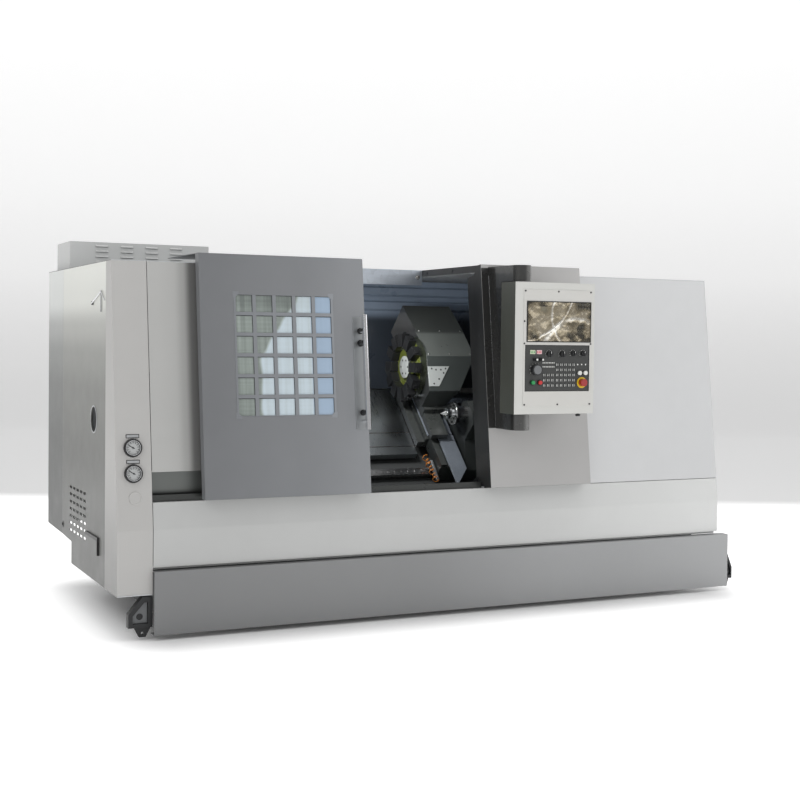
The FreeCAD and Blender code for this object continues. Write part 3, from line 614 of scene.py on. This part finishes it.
# The glass's colour is painted reflection: lighter right of a slanting line near its left edge, sky blue over
# its right part, with upright stripes and level bands, a little darker at the top.
glass, start, shader = new_finish("safety_glass",
                                  {"Coat Weight": 1.0, "Coat Roughness": 0.03, "Specular IOR Level": 0.9})
where = start.node("TexCoord", {}, {}, "Object")
cloud = where.noise(3.0, 2.0)
across = where.axis("X")
height = where.axis("Z")
upright = where.scaled((14, 1, 0.6))
reflection_streak = upright.noise(3.0, 3.0)
level = where.scaled((0.6, 1, 30))
slats = level.noise(3.0, 1.0)
slope_line = across - start.math("MAXIMUM", height - 1.3, 0.0) * 0.62 + (cloud - 0.5) * 0.14
pane = slope_line.between(-1.08, -1.055)
painted_sky_reflection = (across + (reflection_streak - 0.5) * 0.03).between(-0.81, -0.795)
bright = pane * 0.62 + (reflection_streak - 0.5) * 0.45 + (slats - 0.5) * 0.12 + 0.2 - (height - 1.0).between(0.5,
    0.58) * 0.12
painted_reflection_greys = start.node("ValToRGB",
                  {"stops": [(0.05, tone(104, 112, 108)), (0.32, tone(152, 162, 156)),
                             (0.85, tone(198, 212, 220))]}, {0: bright})
painted_reflection = (painted_sky_reflection * 0.75).mixed(painted_reflection_greys, (*tone(146, 170, 198), 1))
painted_reflection.into(shader, "Base Color")
dull = 0.08 + cloud * 0.1
dull.into(shader, "Roughness")
dress(glass, "window_glass")


def on_door(x, z):
    """A place on the leaning front of the door, facing out."""
    return at(x, -35 + (z - 618) * lean_slope, z) @ lean


# Pane edging: a dark rubber lip in every opening of the grid, thicker along the top.
# Filler pieces round the four outer corners of the window.
window = on_door(228, 618) @ Matrix.Translation((0.166, 0, 0.385))
rubber = painted("rubber", tone(54, 58, 60), rough=0.55)
lips = []
for column in range(5):
    for row in range(6):
        left_edge, low_edge = 10 + 101 * column, 3 + 99 * row
        lips += [block("lip", (left_edge, 0.6, low_edge + 80), (left_edge + 83, 3.2, low_edge + 83), 0.3,
                       window, 1), block("lip", (left_edge + 81, 0.6, low_edge),
                                         (left_edge + 83, 3.2, low_edge + 80), 0.3, window, 1)]
fitted(joined("pane_lips", lips), "door", rubber)
fillers = []
for column, row, side_x, side_z in ((0, 0, 0, 0), (4, 0, 1, 0), (0, 5, 0, 1), (4, 5, 1, 1)):
    x, z = 10 + 101 * column + 83 * side_x, 3 + 99 * row + 83 * side_z
    wedge = block("wedge", (x - 14, -0.9, z - 14), (x + 14, 2.6, z + 14), 0.2, window, 1)
    inward = Vector((1 - 2 * side_x, 0, 1 - 2 * side_z)).normalized()
    cut_off(window @ (Vector((x, 0, z)) / 1000 + inward * 0.0085), inward)
    fillers.append(wedge)
fitted(joined("corner_fillers", fillers), "door", grid_paint)

# Door handle: a long chromed tube on dark posts over a brushed backing plate.
dress(chrome, "door_handle")
brushed_plate = steel("brushed_plate", tone(168, 171, 173), rough=0.35, brushed=(40, 40, 1))
backing = block("handle_plate", (-24, -2.6, -277), (24, -0.2, 277), 0.8, on_door(1027, 1204))
fitted(backing, "door", brushed_plate)
collars = []
for height, radius in ((1410, 15), (1350, 17), (1010, 15)):
    collars.append(stepped("collar", on_door(1040, height) @ Matrix.Translation((0, -0.003, 0)) @ facing_front,
                           radius, [(6, radius), (1, radius - 1), (0, radius - 5), (46, radius - 5),
                                    (0, radius - 6), (0.5, 2)], 36))
fitted(joined("handle_posts", collars), "door", trim_black)

# Top rail: a galvanised channel the door hangs from.
# One large hexagon bolt fixes its right end to the roof beam.
dress(steel("galvanised", tone(226, 234, 244), rough=0.34, brushed=(0.7, 20, 20), spots=0.15), "top_rail")
bolt_steel = steel("bolt_steel", tone(190, 190, 188), rough=0.25, brushed=(8, 8, 8))


def bolt(name, place, radius, height):
    """A hexagon bolt head on a washer, standing along its own z."""
    head = stepped(name, place, radius * 1.45, [(1.2, radius * 1.45), (0, radius)], 32)
    hexagon = stepped("hexagon", place @ Matrix.Translation((0, 0, 0.0012)), radius,
                      [(height - 1, radius), (1, radius * 0.86), (0, 0.5)], 6, smooth=False)
    return joined(name, [head, hexagon])


fitted(bolt("rail_bolt", at(1712, 780, 1722) @ facing_front, 9, 7), "root", bolt_steel)

# Control box: the grey fixed leaf right of the opening that carries the swivel arm.
# A dark wing plate and a sill gusset close its joints; a chrome rod stands in for a painted highlight along the
# arm's left edge; bolts hold its beam.
# Painted shade darkens the box's left-facing jamb and its undersides, and it is painted darker further back
# over its beam; painted light brightens it towards the top.
box_paint = painted("box_paint", tone(172, 171, 170), rough=0.42,
                    sides=[((-1, 0, 0), tone(31, 32, 32)), ((0, 0, -1), tone(60, 62, 62))],
                    fades=[("Z", [(1.5, 1.0), (1.75, 1.2)]), ("Y", [(-0.6, 1.0), (-0.56, 0.45)])])
# Painted highlight: a bright upright band near the arm's right end, across its round knuckles.
arm_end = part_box("pulpit_arm")[1].x
arm_paint = painted("arm_paint", tone(66, 66, 65), rough=0.26, coat=0.5, metal=0.55, fades=[
    ("X", [(arm_end - 0.06, 1.0), (arm_end - 0.032, 3.0), (arm_end - 0.016, 2.6), (arm_end - 0.003, 1.4)])])
dress(box_paint, "control_box")
dress(arm_paint, "pulpit_arm")

box_leaf = at(1742, -35, 618) @ lean
wing = block("arm_wing", (1, -2.2, 306), (42, -0.3, 1138), 0.5, box_leaf)
fitted(wing, "root", arm_paint)
# A chrome rod stands in for a painted highlight along the arm's left edge.
highlight_rod = rod("arm_piping", [(1786, 1.4, 925), (1786, 97, 1706)], 1.6)
fitted(highlight_rod, "root", chrome)
for number, (y, z) in enumerate(((725, 1744), (420, 1744), (112, 1390)), 1):
    fitted(bolt(f"beam_bolt_{number}", at(1742, y, z) @ facing_left, 6, 1.6), "root", foot_black)
gusset = block("sill_gusset", (1690, 104, 612), (1741, 107, 664), 0.4)
cut_off(corner + Vector((1690, 0, 618)) / 1000, (-0.66, 0, 0.75))
fitted(gusset, "root", foot_black)

# Pulpit: a deep sheet box on a swivel, light grey in front and darker on its left-facing sides, with painted
# shade on its underside.
# A flush face plate is screwed on round the screen and the keys.
pulpit_paint = painted("pulpit_paint", tone(204, 204, 200), rough=0.4,
                       sides=[((-1, 0, 0), tone(74, 76, 70)), ((0, 0, -1), tone(120, 120, 116))])
screen_black = painted("screen_black", tone(22, 23, 25), rough=0.3, coat=0.4)
panel_grey = painted("panel_grey", tone(58, 59, 58), rough=0.45)
dress(pulpit_paint, "pulpit_box")
dress(screen_black, "screen_unit")
dress(panel_grey, "key_panel")
face_paint = painted("face_paint", tone(203, 202, 198), rough=0.38)
front = at(0, -225, 0)
strips = [((1807, 1572), (2212, 1630)), ((1807, 1352), (2212, 1366)), ((1807, 1044), (2212, 1118)),
          ((1807, 1118), (1817, 1352)), ((2199, 1118), (2212, 1352)), ((1807, 1366), (1824, 1572)),
          ((2206, 1366), (2212, 1572))]
face_plate = joined("face_plate", [block("strip", (low[0], -1.8, low[1]), (high[0], -0.1, high[1]), 0.3, front)
                                   for low, high in strips])
fitted(face_plate, "pulpit", face_paint)
screws = []
for x, z in ((1816, 1052), (2010, 1052), (2203, 1052), (1816, 1622), (2010, 1622), (2203, 1622),
             (1812, 1359), (2205, 1359), (1812, 1470)):
    screws.append(stepped("screw", front @ Matrix.Translation((x / 1000, -0.0018, z / 1000)) @ facing_front,
                          4.6, [(1.6, 4.2), (1.0, 3.0), (0, 2.2), (-1.4, 2.0), (0, 0.3)], 24))
fitted(joined("face_screws", screws), "pulpit", trim_black)

grip = stepped("pulpit_latch_knob", at(2165, -180, 1003.6) @ Matrix.Rotation(math.pi, 4, "X"), 7,
               [(5, 7), (0, 13), (9, 12), (2, 10), (0, 1)], 32)
fitted(grip, "pulpit", trim_black)


def on_pulpit(x, z, proud=0.0):
    """A place on the upright front of the pulpit, facing out."""
    return at(x, -225 - proud, z) @ facing_front


# Screen unit: a dark glass display with soft keys below and a key field at its right.
# A wrinkled clear film from the factory still covers it.
# The dark display glass is painted light beige: a painted sheen of the film lying over it.
display_glass = painted("display_glass", tone(150, 144, 126), rough=0.12, coat=1.0, mottle=0.3)
key_cap = painted("key_cap", tone(70, 72, 72), rough=0.4)
legend_white = painted("legend_white", tone(225, 226, 222), rough=0.45, wear_and_glint=0)
display = block("display", (1860, -226.6, 1401), (2064, -225.1, 1545), 0.8)
fitted(display, "pulpit", display_glass)
soft_key = block("soft_key", (1941, -227, 1375), (1954, -225.1, 1384), 0.6)
fitted(joined("soft_keys", copied(soft_key, [(19 * n, 0, 0) for n in range(1, 7)])), "pulpit", key_cap)
letter_key = block("letter_key", (2114, -227, 1552), (2127, -225.1, 1564), 0.6)
fitted(joined("letter_keys",
              copied(letter_key, [(17.5 * n, 0, -19 * row) for n in range(5) for row in range(7) if n or row])),
       "pulpit", key_cap)
edging = [block("edge", low, high, 0.4) for low, high in (
    ((1824, -229, 1366), (2206, -225.1, 1370)), ((1824, -229, 1568), (2206, -225.1, 1572)),
    ((1824, -229, 1370), (1830, -225.1, 1568)), ((2202, -229, 1370), (2206, -225.1, 1568)))]
fitted(joined("screen_edging", edging), "pulpit", screen_black)
# The film's colour is painted sheen and glints: bright curves along its folds and speckles over a beige sheen,
# which also make it less clear.
film_clear, start, shader = new_finish("film_clear", {"Metallic": 1.0, "Roughness": 0.16})
where = start.node("TexCoord", {}, {}, "Object")
folds = where.noise(8.0, 1.5, Distortion=1.0)
specks = where.noise(60.0, 3.0, Distortion=2.0)
painted_glint_arcs = 0.0
for x, z, radius, width in ((0.53, 1.29, 0.22, 0.02), (0.56, 1.525, 0.182, 0.011), (0.2, 1.72, 0.325, 0.009)):
    reach = start.node("VectorMath", {"operation": "DISTANCE"}, {0: where, 1: (x, -0.93, z)}, "Value")
    painted_glint_arcs = (1 - start.math("ABSOLUTE", reach + (folds - 0.5) * 0.03 - radius).between(0.0, width)) * 0.7 + painted_glint_arcs
sheen = folds.between(0.36, 0.62)
shine = start.node("ValToRGB",
                   {"stops": [(0.0, tone(128, 120, 100)), (0.4, tone(206, 192, 164)),
                              (1.0, tone(255, 252, 244))]},
                   {0: sheen * 0.5 + painted_glint_arcs * 0.6 + (specks - 0.5) * 0.5})
shine.into(shader, "Base Color")
veil = sheen * 0.5 + painted_glint_arcs * 0.45 + specks.between(0.55, 0.7) * 0.3 + 0.2
veil.into(shader, "Alpha")
wrinkle = start.node("Bump", {}, {"Height": folds + painted_glint_arcs * 0.2, "Distance": 0.006, "Strength": 0.7})
wrinkle.into(shader, "Normal")
bpy.ops.object.select_all(action="DESELECT")
bpy.ops.mesh.primitive_grid_add(x_subdivisions=90, y_subdivisions=50, size=1)
film = bpy.context.object
film.name = "screen_film"
film.matrix_world = at(2015, -230.5, 1469) @ facing_front @ Matrix.Diagonal((0.372, 0.196, 1, 1))
bpy.ops.object.transform_apply(location=True, rotation=True, scale=True)
crumple = bpy.data.textures.new("crumple", "CLOUDS")
crumple.noise_scale = 0.05
fold = film.modifiers.new("fold", "DISPLACE")
fold.texture, fold.strength, fold.mid_level, fold.texture_coords = crumple, 0.004, 0.5, "LOCAL"
bpy.ops.object.modifier_apply(modifier="fold")
bpy.ops.object.shade_smooth()
fitted(film, "pulpit", film_clear)

# Key panel faces: two digit windows, lamp rows, membrane keys with blank white marks.
green_plastic = painted("green_plastic", tone(20, 140, 74), rough=0.3, coat=0.5)
red_plastic = painted("red_plastic", tone(196, 30, 30), rough=0.3, coat=0.5)
white_plastic = painted("white_plastic", tone(222, 222, 218), rough=0.35, coat=0.4)
yellow_plate = painted("yellow_plate", tone(222, 186, 40), rough=0.4)
border = [block("edge", low, high, 0.4) for low, high in (
    ((1817, -227, 1118), (2199, -225.1, 1121)), ((1817, -227, 1349), (2199, -225.1, 1352)),
    ((1817, -227, 1121), (1821, -225.1, 1349)), ((2195, -227, 1121), (2199, -225.1, 1349)))]
fitted(joined("panel_edging", border), "pulpit", screen_black)
for name, x, ink in (("green_digits", 1862, (206, 216, 186)), ("red_digits", 1900, (232, 196, 200))):
    window = block(name, (x - 15, -227.5, 1306), (x + 15, -225.1, 1326), 0.6)
    fitted(window, "pulpit", painted(name, tone(*ink), rough=0.3, coat=0.5, wear_and_glint=0))
    cells = [block("cell", (x - 12 + 9 * n, -228.2, 1310), (x - 8 + 9 * n, -227.2, 1321), 0.3)
             for n in range(3)]
    fitted(joined(f"{name}_cells", cells), "pulpit", green_plastic if "green" in name else red_plastic)
lamp = block("lamp", (1921, -226.4, 1259), (1926, -225.1, 1265), 0.3)
fitted(joined("lamps",
              copied(lamp, [(9.2 * n, 0, -20 * row) for n in range(8) for row in range(2) if n or row])),
       "pulpit", legend_white)
key = block("key", (2007 - 7, -227, 1253 - 9), (2007 + 7, -225.1, 1253 + 9), 0.8)
spots = [(24.5 * n, -26.2 * row) for n in range(5) for row in range(5) if n or row]
spots += [(-76 + 24 * n, -52.4 - 26.2 * row) for n in range(3) for row in range(3)]
keys = copied(key, [(x, 0, z) for x, z in spots])
fitted(joined("keys", keys), "pulpit", screen_black)
mark = block("key_mark", (2007 - 5.6, -227.6, 1253 - 6), (2007 - 3.2, -226.8, 1253 + 6), 0.2)
fitted(joined("key_marks",
              copied(mark, [(x, 0, z) for x, z in spots] + [(8.4, 0, 0)]
                     + [(x + 8.4, 0, z) for x, z in spots])), "pulpit", legend_white)
dots = [stepped("dot", on_pulpit(x, 1254, 0.1), 4, [(1, 3.6), (0.3, 2.5), (0, 0.4)], 20)
        for x in (2130, 2154, 2178)]
fitted(joined("mode_dots", dots), "pulpit", legend_white)
ticks = []
for x, z, radius in ((1958, 1307, 15), (2036, 1307, 15), (2100, 1310, 13), (2159, 1310, 13), (1880, 1227, 28)):
    for step in range(9):
        spin = Matrix.Rotation(math.radians(120 - 30 * step), 4, "Z")
        ticks.append(block("tick", (-0.8, radius + 3, 0.1), (0.8, radius + 7, 0.6), 0.1, on_pulpit(x, z) @ spin,
                           1))
fitted(joined("switch_ticks", ticks), "pulpit", legend_white)
for name, node, radius, finish in (("power_on_ring", "power_on_button", 15, trim_black),
                                   ("power_off_ring", "power_off_button", 15, trim_black),
                                   ("start_ring", "cycle_start_button", 14.5, trim_black),
                                   ("hold_ring", "feed_hold_button", 14.5, trim_black),
                                   ("stop_ring", "emergency_stop", 28, yellow_plate)):
    low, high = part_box(node)
    middle = Matrix.Translation(((low.x + high.x) / 2, corner.y - 0.2251, (low.z + high.z) / 2)) @ facing_front
    fitted(sleeve(name, middle, radius, 2.4, radius - (high.x - low.x) * 500 - 0.8), "pulpit", finish)
for name in ("program_lock", "drive_switch"):
    low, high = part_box(name)
    spot = Matrix.Translation(((low.x + high.x) / 2 + 0.004, low.y, (low.z + high.z) / 2)) @ facing_front
    fitted(stepped(f"{name}_dot", spot, 5.2, [(0.6, 5.2), (0.3, 4), (0, 0.4)], 24), f"{name}_knob",
           legend_white)
pointers = []
for x, z, reach, proud in ((1958, 1307, 15, 23.6), (2036, 1307, 15, 23.6), (2100, 1310, 13, 23.6),
                           (2159, 1310, 13, 23.6)):
    pointers.append((f"pointer_{x}",
                     block("pointer", (x - 1, -225 - proud - 0.5, z + 2),
                           (x + 1, -225 - proud + 0.2, z + reach - 2), 0.2)))
for (name, pointer), body in zip(pointers,
                                 ("mode_switch_knob", "feed_switch_knob", "rapid_switch_knob",
                                  "speed_switch_knob")):
    pointer.name = name
    fitted(pointer, body, legend_white)
wheel_face = stepped("handwheel_face", on_pulpit(1880, 1227, 22.5), 22,
                     [(1.2, 22), (0.6, 20.5), (0, 12), (-0.8, 11), (0, 0.5)], 48)
fitted(wheel_face, "handwheel_knob", bracket_grey)

# Controls: moulded knobs and push buttons from the trade, green, red, white and black.
dress(painted("knob_plastic", tone(26, 27, 29), rough=0.35, coat=0.3), "mode_switch", "feed_switch",
      "rapid_switch", "speed_switch", "program_lock", "drive_switch", "handwheel")
dress(green_plastic, "power_on_button")
dress(red_plastic, "power_off_button")
dress(painted("stop_red", tone(158, 36, 34), rough=0.3, coat=0.5), "emergency_stop")
dress(white_plastic, "cycle_start_button", "feed_hold_button")

# Work zone: dark enamelled chamber walls, headstock and the chuck with its hard jaws.
# Painted light and shade: the chamber walls grow far lighter high up under the roof opening, and darker low
# down and towards the right.
chamber_paint = painted("chamber_paint", tone(66, 73, 82), rough=0.3, mottle=0.3, coat=0.3,
                        fades=[("Z", [(0.6, 0.5), (1.5, 0.9), (1.57, 6.0), (1.75, 7.0)]),
                               ("X", [(-0.6, 1.0), (0.75, 0.7)])])
dress(chamber_paint, "chamber_left_wall", "chamber_right_wall", "chamber_rear_wall")
dress(cast_paint, "headstock")
dress(steel("spindle_steel", tone(150, 150, 150), rough=0.25), "spindle", "chuck_body", "quill")
dress(steel("jaw_steel", tone(110, 110, 112), rough=0.3), "jaw_1", "jaw_2", "jaw_3")
dress(steel("centre_steel", tone(170, 172, 172), rough=0.2), "live_centre")
cover_sheet = steel("cover_sheet", tone(146, 151, 154), rough=0.3, brushed=(30, 0.8, 0.8))
dress(cover_sheet, "way_cover_inner", "way_cover_middle", "way_cover_outer")
dress(painted("bright_cover", tone(134, 141, 150), rough=0.32, metal=0.3, mottle=0.5, grain=150, relief=0.0002),
      "cross_way_cover")
# Painted light and shade: tops and front faces are lighter than the rest, and all of it lightens higher up.
carriage_paint = painted("carriage_paint", tone(50, 53, 53), rough=0.3, relief=0.0001, mottle=0.4, coat=0.3,
                         sides=[((0, -0.1, 1), tone(72, 75, 73)), ((0, -1, -0.2), tone(62, 66, 65))],
                         fades=[("Z", [(1.05, 0.8), (1.16, 1.0), (1.3, 1.25)])])
dress(carriage_paint, "saddle", "cross_slide", "tailstock_body")
# Painted light and shade: the face tilted up to the front and the front faces are lighter, the top is darker,
# and the strong edge lightening is a painted highlight along the edges.
dress(painted("housing_paint", tone(44, 46, 46), rough=0.3, relief=0.0001, mottle=0.3, coat=0.3, edge=0.003,
              wear_and_glint=0.8, sides=[((0, -0.7, 0.7), tone(88, 92, 89)), ((0, -1, -0.2), tone(60, 64, 63))],
              fades=[("Z", [(1.06, 0.8), (1.16, 1.0), (1.425, 1.05), (1.445, 0.42)])]), "turret_housing")
dress(painted("disc_film", tone(46, 50, 40), rough=0.28, coat=0.4, mottle=0.6, relief=0.004, grain=36,
              sides=[((-1, 0, 0), tone(96, 104, 44))]), "turret_disc")
dress(painted("holder_black", tone(26, 27, 28), rough=0.35, coat=0.2), "tool_holders")


# Chamber lamp: a sealed strip light high on the wall behind the door floods the tools.
# Its beam is narrow enough to miss the top rail and the control box.
chamber_lamp = soft_panel("chamber_lamp", tuple(at(1060, 260, 1500).translation),
                          tuple(at(1620, 640, 1050).translation), 0.3, 0.12, 4)
chamber_lamp.data.spread = math.radians(110)
chamber_lamp.visible_camera = False

# Slant bed: the guides are screwed down along their length and the bores plugged.
# Folded steel covers telescope over them, each with a stiffening seam.
low_axis, high_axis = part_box("spindle")
axis_y, axis_z = ((low_axis + high_axis) / 2 - corner)[1:]
slope = math.radians(45)
bed_y, bed_z = axis_y * 1000 + 300 * math.cos(slope), axis_z * 1000 - 300 * math.cos(slope)


def on_bed(x, along, above):
    """A place on the slanted bed: local y runs up the slope and local z square out of it."""
    reach = math.cos(slope)
    return at(x, bed_y + (along - above) * reach, bed_z + (along + above) * reach) @ Matrix.Rotation(slope, 4,
        "X")


plugs = []
for along in (-186, 331):
    first = stepped("plug", on_bed(720, along, 40), 6, [(0.8, 6), (0.4, 5), (0, 2.4), (-0.5, 2), (0, 0.4)], 16)
    plugs += copied(first, [(40 * n, 0, 0) for n in range(1, 39)])
fitted(joined("guide_plugs", plugs), "root", guide_ground)
for name, body, x, height in (("inner", "root", 646, 45), ("middle", "cover_middle", 967.5, 50),
                              ("outer", "saddle_unit", 1289, 55)):
    seams = [block("seam", (0, along - 4, 0), (358, along + 4, 1.4), 0.5, on_bed(x, 0, height))
             for along in (80, -20)]
    fitted(joined(f"cover_seams_{name}", seams), body, guide_ground)
turret_silver = painted("turret_silver", tone(196, 200, 198), rough=0.3, metal=0.35, mottle=0.1)
hub_y, hub_z = bed_y + 53 * math.cos(slope), bed_z + 653 * math.cos(slope)
hub = stepped("turret_hub_plate", at(1625.8, hub_y, hub_z) @ facing_left, 62,
              [(2, 62), (1, 60), (0, 20), (-1, 19), (0, 0.5)], 56)
fitted(hub, "turret", turret_silver)
holes = []
for step in range(6):
    spin = Matrix.Rotation(math.radians(60 * step), 4, "Z") @ Matrix.Translation((0, 0.042, 0))
    holes.append(stepped("hole", at(1622.9, hub_y, hub_z) @ facing_left @ spin, 6,
                         [(0.5, 5.6), (0, 3), (-0.3, 2.6), (0, 0.4)], 20))
fitted(joined("turret_hub_screws", holes), "turret", foot_black)
face_lean = Matrix.Rotation(-math.atan(0.208), 4, "X")
housing_face = at(0, 561.3, 1116) @ face_lean
plate = block("turret_port_plate", (1682, -4, 0), (1814, -0.4, 111), 0.5, housing_face)
cut_off(corner + Vector((1742, 0, 1116)) / 1000, (0.84, 0, -0.55))
fitted(plate, "cross", turret_silver)
holes = [stepped("hole", housing_face @ Matrix.Translation((x / 1000, -0.0041, z / 1000)) @ facing_front, 5,
                 [(0.5, 4.8), (0, 3), (-0.3, 2.6), (0, 0.4)], 20)
         for x, z in ((1704, 98), (1790, 98), (1776, 74), (1712, 14), (1745, 40), (1730, 92), (1760, 92))]
fitted(joined("turret_port_screws", holes), "cross", foot_black)
studs = [bolt("stud", on_bed(x, along, 460), 3.4, 3) for x,
         along in ((1700, 300), (1960, 300), (1700, 480), (1960, 480), (1830, 300), (1830, 480))]
fitted(joined("turret_lid_screws", studs), "cross", bolt_steel)
flange_rim = stepped("quill_rim", at(1799, 508, 968) @ facing_left, 63,
                     [(2, 63), (1, 62), (0, 52), (-1, 51), (0, 33)], 64)
fitted(flange_rim, "quill_unit", chrome)
rim_bolts = []
for step in range(6):
    spin = Matrix.Rotation(math.radians(60 * step + 30), 4, "Z") @ Matrix.Translation((0, 0.045, 0.0015))
    rim_bolts.append(stepped("rim_bolt", at(1798, 508, 968) @ facing_left @ spin, 5,
                             [(3, 5), (0.6, 4.2), (0, 2.6), (-2, 2.4), (0, 0.4)], 20))
fitted(joined("quill_rim_screws", rim_bolts), "quill_unit", foot_black)

# Air and coolant hoses at the foot of the saddle: a coiled orange line beside a grey corrugated one.
orange_hose = painted("orange_hose", tone(206, 128, 52), rough=0.3, coat=0.5)
grey_hose = painted("grey_hose", tone(120, 124, 126), rough=0.5)
coil = []
for step in range(73):
    turn_angle = step * math.radians(36)
    swell = 13 + 5 * math.sin(step * 0.31)
    spot = on_bed(1672 + swell * math.cos(turn_angle) + 0.16 * step, -112 - step * 2.5,
                  78 + swell * math.sin(turn_angle)).translation - corner
    coil.append(spot * 1000)
fitted(rod("orange_coil", coil, 2.6, smooth=True), "saddle_unit", orange_hose)
ribs = []
for step in range(16):
    ribs.append(stepped("rib", on_bed(1698, -150 - 8 * step, 78 - 0.6 * step) @ facing_front, 8.5,
                        [(2, 10.5), (2, 10.5), (2, 8.5), (2, 8.5)], 20))
fitted(joined("grey_hose", ribs), "saddle_unit", grey_hose)
